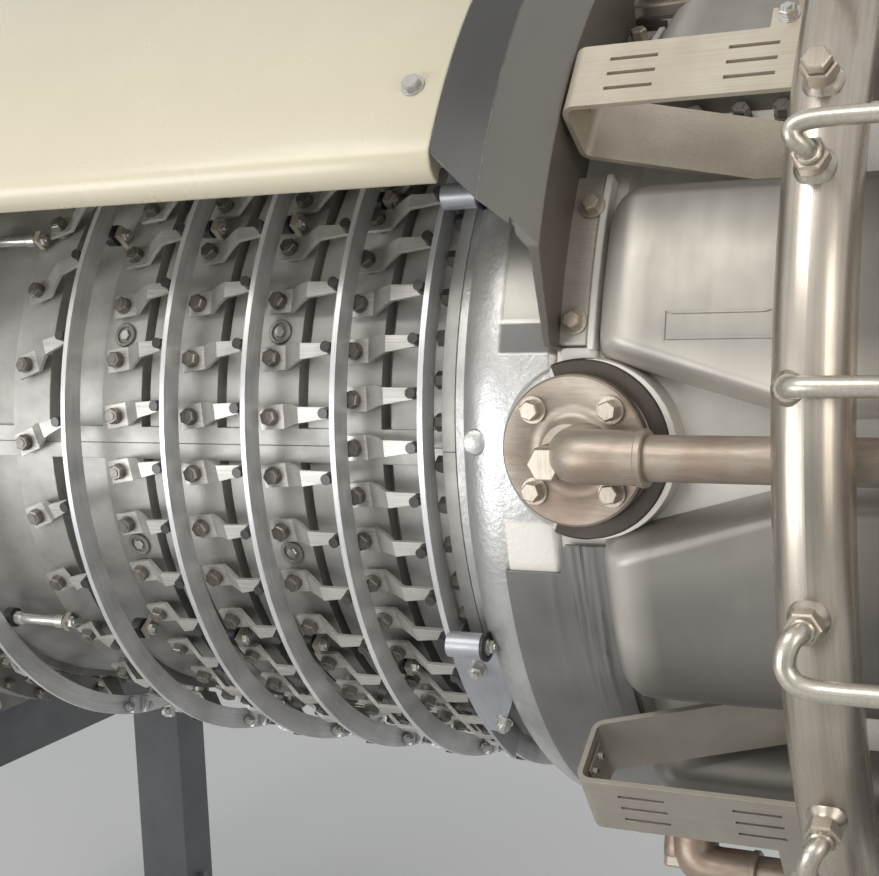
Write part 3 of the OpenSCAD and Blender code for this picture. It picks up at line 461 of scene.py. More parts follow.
def fastener_tree(name):
    """Hexagon head or nut on a washer, set on points whose 'aim' holds the way it faces."""
    tree = bpy.data.node_groups.new(name, "GeometryNodeTree")
    socket = tree.interface.new_socket
    socket("Geometry", in_out="INPUT", socket_type="NodeSocketGeometry")
    for label, value in FASTENER_SIZES.items():
        socket(label, in_out="INPUT", socket_type=FLOAT).default_value = value * MM
    socket("Seed", in_out="INPUT", socket_type="NodeSocketInt").default_value = 1
    socket("Finish", in_out="INPUT", socket_type="NodeSocketMaterial")
    socket("Geometry", in_out="OUTPUT", socket_type="NodeSocketGeometry")
    t = Tree(tree)
    g = t.add("NodeGroupInput").outputs

    def raised(shape, height):
        up = t.add("ShaderNodeCombineXYZ", {2: height}).outputs[0]
        return t.add("GeometryNodeTransform", {"Geometry": shape.outputs[0], "Translation": up}).outputs[0]

    def drum(sides, radius, low, high):
        """A cylinder from low to high along Z."""
        depth = t.maths("SUBTRACT", high, low)
        shape = t.add("GeometryNodeMeshCylinder", {"Vertices": sides, "Radius": radius, "Depth": depth})
        return raised(shape, t.times(t.maths("ADD", low, high), 0.5))

    def taper(sides, low_radius, high_radius, low, high):
        depth = t.maths("SUBTRACT", high, low)
        return raised(t.add("GeometryNodeMeshCone", {"Vertices": sides, "Radius Top": high_radius,
                                                     "Radius Bottom": low_radius, "Depth": depth}), low)

    corner = t.times(g["Across flats"], 0.5774)
    crown = t.maths("ADD", g["Washer height"], g["Head height"])
    shoulder = t.maths("SUBTRACT", crown, t.times(g["Head height"], 0.14))
    head = drum(6, corner, g["Washer height"], shoulder)
    cap = taper(6, corner, t.times(corner, 0.86), shoulder, crown)
    washer = drum(20, g["Washer radius"], 0.0, g["Washer height"])
    stud = drum(12, g["Stud radius"], g["Washer height"], g["Stud height"])
    joined = t.add("GeometryNodeJoinGeometry")
    for shape in (head, cap, washer, stud):
        t.put(joined, {0: shape})
    faced = t.add("GeometryNodeInputNamedAttribute", {"Name": "aim"}, data_type="FLOAT_VECTOR").outputs[0]
    on_points = t.add("GeometryNodeInstanceOnPoints",
                      {"Points": g["Geometry"], "Instance": joined.outputs[0], "Rotation": faced})
    spin = t.add("FunctionNodeRandomValue", {"Seed": g["Seed"], 2: 0.0, 3: math.pi / 3}, data_type="FLOAT")
    spun = t.add("ShaderNodeCombineXYZ", {2: spin.outputs[1]}).outputs[0]
    turned = t.add("GeometryNodeRotateInstances", {"Instances": on_points.outputs[0], "Rotation": spun})
    real = t.add("GeometryNodeRealizeInstances", {0: turned.outputs[0]})
    dressed = t.add("GeometryNodeSetMaterial", {"Geometry": real.outputs[0], "Material": g["Finish"]})
    t.add("NodeGroupOutput", {0: dressed.outputs[0]})
    return tree


FASTENERS = fastener_tree("hexagon fasteners")


def fasten(name, spots, finish, slot, seed, *sizes):
    """One mesh of like fasteners at a list of spots; sizes are in millimetres, in the order of FASTENER_SIZES."""
    values = dict(zip(FASTENER_SIZES, (size * MM for size in sizes)), Seed=seed, Finish=finishes[finish])
    points = bpy.data.meshes.new(name + " spots")
    points.from_pydata([m.translation for m in spots], [], [])
    facing = points.attributes.new("aim", "FLOAT_VECTOR", "POINT")
    for index, m in enumerate(spots):
        facing.data[index].vector = m.to_euler()
    carrier = bpy.data.objects.new(name + " carrier", points)
    scene.collection.objects.link(carrier)
    modifier = carrier.modifiers.new("fasteners", "NODES")
    modifier.node_group = FASTENERS
    for item in FASTENERS.interface.items_tree:
        if item.in_out == "INPUT" and item.name in values:
            modifier[item.identifier] = values[item.name]
    bpy.context.view_layer.update()
    graph = bpy.context.evaluated_depsgraph_get()
    mesh = bpy.data.meshes.new_from_object(carrier.evaluated_get(graph))
    bpy.data.objects.remove(carrier)
    mesh.name = name
    return new_piece(name, mesh, finish, 30)


for row, letter in enumerate(ROWS):
    fasten(f"lever_nuts_{letter}", [place(STEM_X[row], FOOT_TOP, a) for a in lever_angles(row)],
           "nut_dark", "stem_steel", row + 3, 16, 8, 9.4, 1.2, 4.9, 10.2)

fasten("case_flange_bolts", [place(-22.2, 400, 4 + 6 * k) @ AIM_FORWARD for k in range(60)],
       "nut_dark", "stem_steel", 11, 16, 10, 9.6, 1.0, 4.0, 12.5)


# Shaping


def wall(rows, closed=False):
    """Faces between neighbouring rows of equally many points."""
    count, faces = len(rows[0]), []
    for r in range(len(rows) if closed else len(rows) - 1):
        a, b = r * count, (r + 1) % len(rows) * count
        for i in range(count):
            j = (i + 1) % count
            faces.append((a + i, a + j, b + j, b + i))
    return faces


class Shape:
    """Gathers the faces of one piece, in metres, and turns them into an object."""

    def __init__(self):
        self.verts, self.faces = [], []

    def add(self, rows, faces):
        base = len(self.verts)
        self.verts.extend(p for row in rows for p in row)
        self.faces.extend(tuple(i + base for i in face) for face in faces)

    def strip(self, rings, closed=False):
        """Joins loops of equally many points; an open row of loops gets a cap at each end."""
        count, faces = len(rings[0]), wall(rings, closed)
        if not closed:
            last = (len(rings) - 1) * count
            faces += [tuple(range(count)), tuple(reversed(range(last, last + count)))]
        self.add(rings, faces)

    def sheet(self, rows):
        """Joins rows of upper points and returning lower points; both ends are closed in strips."""
        count, faces = len(rows[0]), wall(rows)
        for r in (0, len(rows) - 1):
            for i in range(count // 2 - 1):
                far = r * count + count - 1 - i
                quad = (r * count + i, r * count + i + 1, far - 1, far)
                faces.append(quad if r == 0 else tuple(reversed(quad)))
        self.add(rows, faces)

    def spin(self, profile, start=0.0, end=360.0, steps=192):
        """Turns a closed outline of (x, radius) points round the engine axis."""
        whole = abs(end - start) >= 359.9
        angles = [start + (end - start) * k / steps for k in range(steps if whole else steps + 1)]
        self.strip([[polar(x, r, a) for x, r in profile] for a in angles], closed=whole)

    def lathe(self, spot, outline, sides=32, first=0.0, last=360.0):
        """Turns (radius, height) points round a spot's own outward line."""
        whole = abs(last - first) >= 359.9
        steps = sides if whole else sides + 1
        rings, faces, count = [], [], len(outline)
        for k in range(steps):
            a = math.radians(first + (last - first) * k / sides)
            rings.append([spot @ (Vector((r * math.cos(a), r * math.sin(a), z)) * MM) for r, z in outline])
        for k in range(sides):
            a, b = k * count, (k + 1) % steps * count
            faces += [(a + i, a + i + 1, b + i + 1, b + i) for i in range(count - 1)]
        if not whole:
            faces += [tuple(range(count)), tuple(reversed(range((steps - 1) * count, steps * count)))]
            faces += [((k + 1) * count, k * count, (k + 1) * count - 1, (k + 2) * count - 1) for k in range(sides)]
        self.add(rings, faces)

    def tube(self, points, radius, sides):
        """A round bar along a path; the radius may change from point to point."""
        radii = radius if isinstance(radius, list) else [radius] * len(points)
        side, rings = None, []
        for i, p in enumerate(points):
            ahead = (points[min(i + 1, len(points) - 1)] - points[max(i - 1, 0)]).normalized()
            if side is None:
                side = ahead.orthogonal().normalized()
            side = (side - ahead * side.dot(ahead)).normalized()
            other = ahead.cross(side)
            rings.append([p + (side * math.cos(t) + other * math.sin(t)) * radii[i] * MM
                          for t in (2 * math.pi * k / sides for k in range(sides))])
        self.strip(rings)

    def block(self, spot, low, high, bevel):
        """A box between two corners of a spot, in millimetres, with its edges taken off."""
        box = bmesh.new()
        bmesh.ops.create_cube(box, size=1.0)
        size, middle = Vector(high) - Vector(low), (Vector(high) + Vector(low)) / 2
        for v in box.verts:
            v.co = Vector([v.co[i] * size[i] for i in range(3)]) + middle
        bmesh.ops.bevel(box, geom=box.edges[:], offset=bevel, segments=2, profile=0.5, affect="EDGES")
        box.verts.index_update()
        self.add([[spot @ (v.co * MM) for v in box.verts]], [tuple(v.index for v in f.verts) for f in box.faces])
        box.free()

    def finish(self, name, finish, slot, smooth=35):
        mesh = bpy.data.meshes.new(name)
        mesh.from_pydata(self.verts, [], self.faces)
        work = bmesh.new()
        work.from_mesh(mesh)
        bmesh.ops.remove_doubles(work, verts=work.verts[:], dist=1e-7)
        bmesh.ops.dissolve_degenerate(work, edges=work.edges[:], dist=1e-8)
        bmesh.ops.recalc_face_normals(work, faces=work.faces[:])
        work.to_mesh(mesh)
        work.free()
        return new_piece(name, mesh, finish, smooth)


def curve_through(spot, route, steps=5):
    """A smooth path through points given in millimetres in a spot's own directions."""
    points = [spot @ (Vector(p) * MM) for p in route]
    path = []
    for i in range(len(points) - 1):
        a, b = points[i], points[i + 1]
        before = points[i - 1] if i else a + (a - b)
        after = points[i + 2] if i + 2 < len(points) else b + (b - a)
        for k in range(steps):
            t = k / steps
            path.append(0.5 * (2 * a + (b - before) * t + (2 * before - 5 * a + 4 * b - after) * t * t
                               + (3 * a - before - 3 * b + after) * t ** 3))
    path.append(points[-1])
    return path


def quarter(share):
    """Rises from 0 to 1 along a quarter circle."""
    share = max(0.0, min(1.0, share))
    return math.sqrt(1 - (1 - share) ** 2)


def quarter_turn(steps):
    """Angles of a quarter circle, in radians, from 0 on."""
    return [math.pi / 2 * k / steps for k in range(steps + 1)]


def spaced(low, high, edge, fine, coarse):
    """Stations from low to high, close together near both ends."""
    curve = [edge * (1 - math.cos(t)) for t in quarter_turn(fine)[:-1]]
    middle = [low + edge + (high - low - 2 * edge) * k / coarse for k in range(coarse + 1)]
    return [low + d for d in curve] + middle + [high - d for d in reversed(curve)]


# Insulation jackets

JACKET_FRONT, JACKET_BACK, JACKET_BASE, JACKET_HEIGHT = 155.0, 552.0, 440.3, 51.0
WIDTH_RADIUS = 480.0
SKIN = 0.8


def jacket_edges(x, wide=True):
    """Half widths of a jacket on its injector side and on its strap side, in millimetres."""
    injector = min(67 + (x - 165) * 0.31, 121)
    strap = (102 if wide else 84) - 22 * (1 - min((x - JACKET_FRONT) / 42, 1)) ** 2
    tail = max(0.0, (x - (JACKET_BACK - 24)) / 24)
    drop = 14 * (1 - math.sqrt(max(0.0, 1 - tail * tail)))
    return injector - drop, strap - drop


def jacket_top(x, y, degrees, wide=True, lift=0.0):
    """A point on a jacket; y runs from its middle towards the injector."""
    injector, strap = jacket_edges(x, wide)
    lip = 3.0 * math.exp(-((injector - y - 15) / 9) ** 2) * quarter((x - JACKET_FRONT) / 60)
    round_off = (quarter((x - JACKET_FRONT) / 38) * quarter((injector - y) / 24)
                 * quarter((strap + y) / 20) * quarter((JACKET_BACK - x) / 16))
    ripple = noise.noise(Vector((x * 0.021, y * 0.03, 4.2))) * 1.1
    return polar(x, JACKET_BASE + SKIN + (JACKET_HEIGHT + ripple + lip) * round_off + lift, degrees)


def make_jackets():
    jackets = Shape()
    stations = spaced(JACKET_FRONT, JACKET_BACK, 38, 9, 22)
    for k in range(10):
        middle = INJECTOR_PHASE + SECTOR * (k + 0.5)
        way = -1 if k % 2 == 0 else 1
        wide = k % 2 == 0 or k == 9
        rows = []
        for x in stations:
            injector, strap = jacket_edges(x, wide)
            across = [(y, middle + way * math.degrees(y / WIDTH_RADIUS))
                      for y in spaced(-strap, injector, 24, 8, 16)]
            rows.append([jacket_top(x, y, a, wide) for y, a in across]
                        + [polar(x, JACKET_BASE, a) for y, a in reversed(across)])
        jackets.sheet(rows)
    shells = jackets.finish("jacket_shells", "jacket_stainless", "jacket_stainless", smooth=50)
    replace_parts(shells, "insulation_jackets")


def make_jacket_frame():
    """Bare pressed frame on the jacket above the first injector."""
    middle = INJECTOR_PHASE + SECTOR / 2
    corners = [(226, 13.0), (323, 13.0), (323, 16.0), (226, 16.0)]
    inwards = [(0, 1), (-1, 0), (0, -1), (1, 0)]
    ridge, rings = Shape(), []
    for i, side_inward in enumerate(inwards):
        (xa, ta), (xb, tb) = corners[i], corners[(i + 1) % 4]
        for k in range(12):
            x, t = xa + (xb - xa) * k / 12, ta + (tb - ta) * k / 12
            inward = Vector(side_inward) if k else Vector((274.5 - x, (14.5 - t) * 8.2)).normalized()
            loop = []
            for offset, lift in ((0, -1.5), (0.5, 1.0), (2.6, 1.0), (3.1, -1.5)):
                degrees = t + inward.y * offset / 8.4
                y = (middle - degrees) * math.pi / 180 * WIDTH_RADIUS
                loop.append(jacket_top(x + inward.x * offset, y, degrees, lift=lift))
            rings.append(loop)
    ridge.strip(rings, closed=True)
    ridge.finish("jacket_frame", "jacket_stainless", "jacket_stainless", smooth=50)


def make_apron():
    """Creased sheet under the first injector."""
    apron, rows = Shape(), []
    stations = [57 + 2.25 * k for k in range(49)]
    creases = ((104, 2.4, 1.2), (128, 1.4, 3.2), (134, 1.2, 2.4), (141, 1.2, 2.6), (148, 1.5, 3.4))

    def lift(x, a):
        wave = 0.5 * noise.noise(Vector((x * 0.05, a * 0.11, 1.7)))
        fade = 0.12 + 0.88 * max(0.0, min(1.0, (a + 34) / 16))
        for at, width, height in creases:
            middle = at + 4.0 * noise.noise(Vector((a * 0.07, at, 0.3)))
            strength = 0.35 + 0.65 * abs(noise.noise(Vector((a * 0.07, at * 3.1, 8.0)))) * 2
            wave += fade * height * min(strength, 1.0) * math.exp(-((x - middle) / (width * 1.6)) ** 2)
        return max(0.0, wave + 0.6) * min(1.0, (x - 56) / 8)

    for k in range(93):
        spots = []
        for x in stations:
            start = -13.4 + 3.6 * quarter((x - 115.2) / 5)
            spots.append((x, start + (-59 - start) * k / 92))
        rows.append([polar(x, 461.4 + lift(x, a), a) for x, a in spots]
                    + [polar(x, 458.3, a) for x, a in reversed(spots)])
    apron.sheet(rows)
    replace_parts(apron.finish("apron_foil", "apron_grey", "apron_grey", smooth=60), "apron_sheet")


def make_cover():
    """Arched cover with its rounded lower lips."""
    cover = Shape()
    outer, inner, lip, edge = 600.0, 572.0, 25.0, 26.5
    front, back = -1009.6, 31.6

    def section(inset):
        r_out, r_in = outer - inset, inner + inset
        low = edge + math.degrees(inset / 590)
        rounding = []
        for t in quarter_turn(8):
            rise = (r_out - r_in - 4) * math.sin(t)
            rounding.append((r_in + 4 + rise, low + math.degrees(lip * (1 - math.cos(t)) / outer)))
        start = low + math.degrees(lip / outer)
        return (rounding + [(r_out, start + (180 - 2 * start) * k / 96) for k in range(1, 96)]
                + [(r, 180 - a) for r, a in reversed(rounding)]
                + [(r_in, 180 - low - (180 - 2 * low) * k / 96) for k in range(97)])

    stations = [(-1012, 2.4), (-1011.3, 0.7)] + [(front + (back - front) * k / 8, 0.0) for k in range(9)]
    stations += [(33.3, 0.7), (34.0, 2.4)]
    cover.strip([[polar(x, r, a) for r, a in section(inset)] for x, inset in stations])
    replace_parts(cover.finish("cover_shell", "cover_cream", "cover_cream", smooth=40), "arched_cover")


def make_diffuser():
    """Diffuser case with its cast bulge, the injector seats and a boss."""
    skin = Shape()
    back = 113.9
    bulge = [(57 - 50.8 * math.sin(t), 458 - 45 * (1 - math.cos(t))) for t in quarter_turn(22)]
    profile = [(-7.8, 330), (-7.8, 411), (-6.8, 412), (5.2, 412)] + bulge[::-1]
    profile += [(106, 458), (108.5, 457.4), (113.6, 452.4), (back, 451.8), (back, 330)]
    skin.spin(profile, steps=288)
    reach = back - INJECTOR_X - 4
    limit = math.degrees(math.acos(reach / 82))
    turns = [math.radians(limit + (360 - 2 * limit) * i / 40) for i in range(41)]
    for k in range(5):
        seat = place(INJECTOR_X + 4, 0, INJECTOR_PHASE + 72 * k)
        rings = []
        for radius, height in ((82, 430), (82, 454), (80, 459), (76.5, 462.2), (71.5, 464)):
            rings.append([seat @ (Vector((min(radius * math.cos(a), reach), radius * math.sin(a), height)) * MM)
                          for a in turns])
        skin.strip(rings)
    skin.lathe(place(33, 430, 2), [(0, 0), (12.5, 0), (12.5, 24), (11.4, 26.4), (8, 27.8), (0, 28.8)], sides=40)
    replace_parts(skin.finish("diffuser_skin", "diffuser_cast", "diffuser_cast", smooth=40), "diffuser_case")


def curved_plate(shape, x0, x1, high, start, end, bevel, low=452.3):
    """A plate that follows the case between two angles, with its corners taken off."""
    steps = max(6, int(abs(end - start) / 1.5))
    small = math.degrees(bevel / high) * (1 if end > start else -1)
    inner = [(start + small + (end - start - 2 * small) * i / steps, 0.0) for i in range(steps + 1)]
    rings = []
    for angle, inset in [(start, bevel)] + inner + [(end, bevel)]:
        top = high - inset * 0.5
        outline = ((x0 + inset, low), (x0 + inset, high - bevel), (x0 + bevel, top),
                   (x1 - bevel, top), (x1 - inset, high - bevel), (x1 - inset, low))
        rings.append([polar(x, r, angle) for x, r in outline])
    shape.strip(rings)


def make_clamps():
    """Clamp plates and gasket strips on the combustor's front joint."""
    plates, gaskets, spots = Shape(), Shape(), []
    for k in range(8):
        middle = INJECTOR_PHASE + SECTOR * (k + 0.5)
        way = 1 if k % 2 == 0 else -1
        curved_plate(plates, 114.5, 147.5, 466, middle - way * 6.3, middle + way * 14.2, 2.0)
        curved_plate(gaskets, 147.8, 154.8, 467, middle - way * 6.9, middle + way * 14.4, 1.0)
        curved_plate(gaskets, 120, 154.8, 459, middle - way * 8.2, middle - way * 6.5, 1.0)
        spots += [place(134.5, 466.1, middle - way * 3.7), place(140, 466.1, middle + way * 10.1)]
    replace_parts(plates.finish("clamp_straps", "clamp_steel", "heat_tint_steel"), "clamp_plates")
    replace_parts(gaskets.finish("gasket_weave", "gasket_pale", "gasket_pale"), "gasket_strips")
    fasten("clamp_bolts", spots, "bolt_tinted", "heat_tint_steel", 31, 15, 9, 12.5, 2.4, 4, 10.4)


def make_injectors():
    """Injector heads: bolted disc, hub, cast elbow, collar and plug."""
    disc = [(0, 0), (68, 0), (69, 1), (69, 12), (67, 14), (45, 14), (43.5, 13), (34, 13), (30, 15.5), (27, 20),
            (25.5, 27), (0, 27)]
    elbow = [(12, 0, 12), (12, 0, 30), (15, 0, 46), (25, 0, 55), (38, 0, 58), (58, 0, 58), (80, 0, 58)]
    shroud = [(80.6, 441), (82.4, 441), (82.4, 463.2), (80.4, 466.2), (66, 466.2), (66, 464.3), (80.6, 464.3)]
    heads, collars, plugs, shrouds, bolts = Shape(), Shape(), Shape(), Shape(), []
    for k in range(5):
        angle = INJECTOR_PHASE + 72 * k
        seat = place(INJECTOR_X, 464.2, angle)
        heads.lathe(seat, disc, sides=72)
        path = curve_through(seat, elbow)
        heads.tube(path, [26.0 - 2.2 * quarter(i / (len(path) - 1)) ** 2 for i in range(len(path))], sides=32)
        boss = seat @ local(-9, -7, 28)
        heads.lathe(boss, [(0, -20), (17, -20), (17, 14), (16.4, 22), (15.4, 24), (0, 24)])
        plugs.lathe(boss @ local(0, 0, 24), [(0, 0), (16.5, 0), (16.5, 9), (14.8, 11), (0, 11.4)], sides=6)
        collars.lathe(place(INJECTOR_X + 78, 522.2, angle) @ AIM_AFT,
                      [(0, 0), (24.4, 0), (25.4, 1), (25.4, 6), (24, 7.4), (0, 7.4)], sides=48)
        # Dark brown shrouds round the seats stand for the shade on the seats' side walls
        shrouds.lathe(place(INJECTOR_X + 5, 0, angle), shroud, sides=64, first=-111, last=111)
        bolts += [seat @ local(dx, dy, 14) for dx in (-37, 37) for dy in (-37, 37)]
    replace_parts(heads.finish("injector_heads", "heat_tint_steel", "heat_tint_steel", smooth=38), "injector_flanges")
    collars.finish("injector_collars", "heat_tint_steel", "heat_tint_steel")
    plugs.finish("injector_plugs", "bolt_tinted", "heat_tint_steel", smooth=25)
    shrouds.finish("seat_shrouds", "seat_brown", "heat_tint_steel")
    fasten("injector_bolts", bolts, "bolt_tinted", "heat_tint_steel", 21, 16.5, 11, 12.6, 3.0, 5, 12.6)


MANIFOLD_X = 376
# Angle from the injector, then the way, the rise and the radius of its tube; the first is capped
FITTINGS = [(29.2, 0, 0, 0), (22.2, 1, 17, 7.5), (-10.5, -1, 38, 8.6), (-28.1, -1, 38, 8.6)]


def make_manifold_dressing():
    """Manifold fittings, the tubes that leave them, and a tube from the manifold's front."""
    base_ring = [(0, -2), (17, -2), (15, 1.5), (12.5, 4), (11, 7), (11, 9), (0, 9)]
    union = [(0, 0), (13.6, 0), (15, 1.2), (15, 11.5), (13.4, 13), (0, 13)]
    cap = [(0, 0), (10.5, 0), (10.5, 1.5), (12, 1.6), (12, 7.5), (10.4, 8.8), (0, 9)]
    tube_end = [(0, -2), (12, -2), (13.2, -0.8), (13.2, 10), (12, 11.4), (0, 11.4)]
    front_route = [(-12, 0, 0), (-12, 0, 14), (-10, 0, 24), (-2, 0, 32), (10, 0, 35), (40, 0, 36), (96, 0, 36)]
    fittings, tubes, nuts = Shape(), Shape(), Shape()
    for k in range(5):
        base = INJECTOR_PHASE + 72 * k
        for offset, way, rise, radius in FITTINGS:
            spot = place(MANIFOLD_X, 614.0, base + offset)
            fittings.lathe(spot, base_ring, sides=28)
            nuts.lathe(spot @ local(0, 0, 8), union, sides=6)
            if way == 0:
                nuts.lathe(spot @ local(0, 0, 21), cap, sides=6)
                continue
            fittings.lathe(spot @ local(0, 0, 21), [(0, 0), (10.6, 0), (10.6, 3.5), (9.2, 5), (0, 5)], sides=28)
            route = [(0, 0, 22), (-1, 0, 28), (-5, way * 2, 34), (-9, way * rise * 0.3, 38.5),
                     (-9.5, way * rise * 0.6, 41), (-3, way * rise * 0.86, 42.4), (9, way * rise * 0.97, 43)]
            route += [(x, way * rise, 43) for x in (26, 60, 96)]
            tubes.tube(curve_through(spot, route), radius, sides=18)
            nuts.lathe(spot @ local(96, way * rise, 43) @ AIM_AFT, tube_end, sides=6)
        spot = place(MANIFOLD_X, 600.0, base + 6.1)
        tubes.tube(curve_through(spot, front_route), 8.4, sides=18)
        fittings.lathe(spot @ local(-12, 0, 0), [(0, 6), (15, 6), (14, 12), (10.5, 17), (0, 17)], sides=28)
        nuts.lathe(spot @ local(96, 0, 36) @ AIM_AFT, tube_end, sides=6)
    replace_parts(fittings.finish("manifold_bosses", "manifold_stainless", "manifold_stainless"), "manifold_fittings")
    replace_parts(tubes.finish("feed_tubes", "tube_stainless", "manifold_stainless", smooth=50), "manifold_feed_tubes")
    nuts.finish("union_nuts", "bolt_tinted", "manifold_stainless", smooth=25)


def make_strap_dressing():
    """Doubler plates, rivets and bolts of the straps, and the bolts on the case beside them."""
    plates, clamps, feet, rivets, heads = Shape(), [], [], [], []
    for k in range(5):
        angle = INJECTOR_PHASE + 72 * k + 36
        side = 1 if k < 2.5 else -1
        ear = angle + side * math.degrees(math.asin((53 if side > 0 else 77) / 582))
        clamps.append(place(326, 565.6, ear - side * 0.4))
        feet += [place(322, 445.6, angle + a) for a in (-2.1, 2.1)]
        front = place(139.2, 529, angle + 1.6)
        plates.block(front, (0, -9, -17), (2.2, 9, 17), 0.7)
        rivets += [front @ local(2.2, 0, dz) @ AIM_AFT for dz in (-9, 9)]
        heads += [place(x, 440.4, angle + 6.7) for x in (214, 258, 297)]
    plates.finish("strap_doublers", "bracket_steel", "bracket_steel")
    fasten("strap_clamp_bolts", clamps, "nut_bright", "bracket_steel", 51, 14, 8, 10, 2, 4, 12)
    fasten("strap_foot_bolts", feet, "bolt_tinted", "bracket_steel", 52, 13, 7, 9.5, 2, 3.5, 9)
    fasten("doubler_rivets", rivets, "nut_bright", "bracket_steel", 53, 8, 3, 5, 1, 2, 4)
    fasten("case_edge_bolts", heads, "nut_dark", "heat_tint_steel", 54, 15, 12, 9.5, 3, 4, 16)


# Fittings of the vane rows


def make_row_dressing():
    """Collars on the lever balls and plugs on the lands."""
    tips = []
    for row in range(len(ROWS)):
        swing = math.radians(LEVER_SWING[row])
        reach = local(LEVER_LENGTH[row] * math.cos(swing), LEVER_LENGTH[row] * math.sin(swing), 419.2)
        tips += [place(STEM_X[row], 0, a) @ reach for a in lever_angles(row)]
    fasten("lever_tip_collars", tips, "tip_dark", "lever_steel", 61, 10.5, 4.5, 6.2, 1.0, 5.7, 12.4)
    plugs, sockets = Shape(), Shape()
    plug = [(0, 0), (13.5, 0), (13.5, 2.4), (12.6, 3.2), (9.8, 3.2), (9.2, 2.4), (9.2, 0.8), (0, 0.8)]
    for x in (STEM_X[2], STEM_X[4]):
        for a in (18, -18, 162, -162):
            spot = place(x, 384.0, a)
            plugs.lathe(spot, plug, sides=36)
            sockets.lathe(spot @ local(0, 0, 0.9), [(0, 0), (6.4, 0), (6.4, 2.0), (5.6, 2.8), (0, 2.8)], sides=6)
    plugs.finish("case_plugs", "stem_steel", "stem_steel")
    sockets.finish("plug_heads", "nut_bright", "stem_steel", smooth=25)


def make_roller_brackets():
    """Brackets of ring F: an arm on the ring, a plate over it, and a sleeve with a disc and a bolt."""
    brackets, discs, bolts, ends = Shape(), Shape(), [], []
    aft = ring_x(5) + RING_THICK + 0.2
    for side in (0, 180):
        for way, lead in ((-1, 0), (1, 8)):
            def angle(a):
                return side + way * (a + lead)

            brackets.spin([(aft, 398), (aft, 441), (aft + 4.5, 441), (aft + 4.5, 398)], angle(27), angle(56), 30)
            rings = []
            for k in range(24):
                a = 26.6 + 18.8 * k / 23
                front = aft + 0.5 + 9 * max(0.0, 1 - (a - 26.6) / 3.4)
                back = 20 - 3 * min(1.0, (a - 26.6) / 10.4) - 31 * max(0.0, (a - 37) / 8.4)
                outline = ((front, 437.8), (front, 441.2), (back, 441.2), (back, 437.8))
                rings.append([polar(x, r, angle(a)) for x, r in outline])
            brackets.strip(rings)
            stations = [aft + 9.5 + (20 - aft - 9.5) * k / 12 for k in range(13)]
            fold = ((438, 26.6), (447, 26.2), (447.6, 26.5), (439.6, 27.0))
            brackets.strip([[polar(x, r, angle(a)) for r, a in fold] for x in stations])
            sleeve = place(aft + 9, 452.5, angle(25.4)) @ AIM_AFT
            brackets.lathe(sleeve, [(0, 0), (12.4, 0), (13, 0.6), (13, 37.4), (12.4, 38), (0, 38)], sides=48)
            tip = sleeve @ local(0, 0, 38)
            disc = [(0, 0), (14.6, 0), (15, 0.6), (15, 3.4), (14, 4.2), (10.4, 4.2), (9.8, 3.4), (0, 3.4)]
            discs.lathe(tip, disc, sides=40)
            ends.append(tip @ local(0, 0, 3.4))
            bolts += [place(-8, 441.2, angle(30.6)), place(-4, 441.2, angle(42.2))]
    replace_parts(brackets.finish("roller_brackets", "bracket_blue", "bracket_steel"), "ring_f_brackets")
    discs.finish("sleeve_discs", "roller_black", "roller_black")
    fasten("bracket_bolts", bolts, "nut_bright", "ring_steel", 62, 14, 8, 9.5, 1.6, 4.5, 13)
    fasten("sleeve_bolts", ends, "nut_bright", "ring_steel", 63, 12, 6, 8.5, 1.4, 4, 9)


def make_roller_dressing():
    """Nuts on both ends of the roller pins; those of the first row have a long sleeve."""
    jams, rods = [], Shape()
    sleeve = [(5.05, 0), (8.4, 0), (8.4, 9), (6.6, 11), (6.6, 62), (8.2, 64), (8.2, 76), (5.05, 76), (5.05, 0)]
    for row in range(5):
        turn = 39.6 if row == 4 else 36
        size = 24 if row < 2 else 20
        reach = 84 if row == 0 else 8
        pin_radius = RING_OUTER - RING_HEIGHT - 0.3 - size / 2
        for side in (0, 180):
            for way in (-1, 1):
                spot = place(ring_x(row) + RING_THICK / 2, pin_radius, side + way * turn)
                jams += [spot @ local(reach + 7, 0, 0) @ AIM_AFT, spot @ local(-6.2, 0, 0) @ AIM_FORWARD]
                if row == 0:
                    rods.lathe(spot @ local(7, 0, 0) @ AIM_AFT, sleeve, sides=28)
    rods.finish("roller_sleeves", "nut_bright", "ring_steel")
    fasten("roller_nuts", jams, "nut_bright", "ring_steel", 64, 13, 5, 7.5, 1, 4, 8)


def make_ring_joints():
    """Bolted lugs where the halves of each ring meet."""
    lugs, bolts = Shape(), []
    for row in range(len(ROWS)):
        middle = ring_x(row) + RING_THICK / 2
        for angle, way in ((-75.6, 1), (-79.4, -1), (104.4, 1), (100.6, -1)):
            spot = place(middle, RING_OUTER - 22, angle)
            lugs.block(spot, (3.2, -3.5, -3), (12.5, 3.5, 20), 0.8)
            bolts.append(spot @ local(8, way * 3.5, 11) @ aim(-90 * way, "X"))
        for way in (-1, 1):
            bolts.append(place(middle, 441, -90 + way * 1.6) @ local(0, way * 4, 0) @ aim(-90 * way, "X"))
    lugs.finish("ring_splice_lugs", "ring_steel", "ring_steel")
    fasten("ring_splice_bolts", bolts, "nut_bright", "ring_steel", 65, 11, 7, 6.5, 1.2, 3.5, 11)


def bolt_circles(radius, count, *faces):
    """Bolts round a flange; each face is its place along the axis and the way the bolts point."""
    turns = [(k + 0.5) * 360 / count for k in range(count)]
    return [place(x, radius, a) @ facing for x, facing in faces for a in turns]


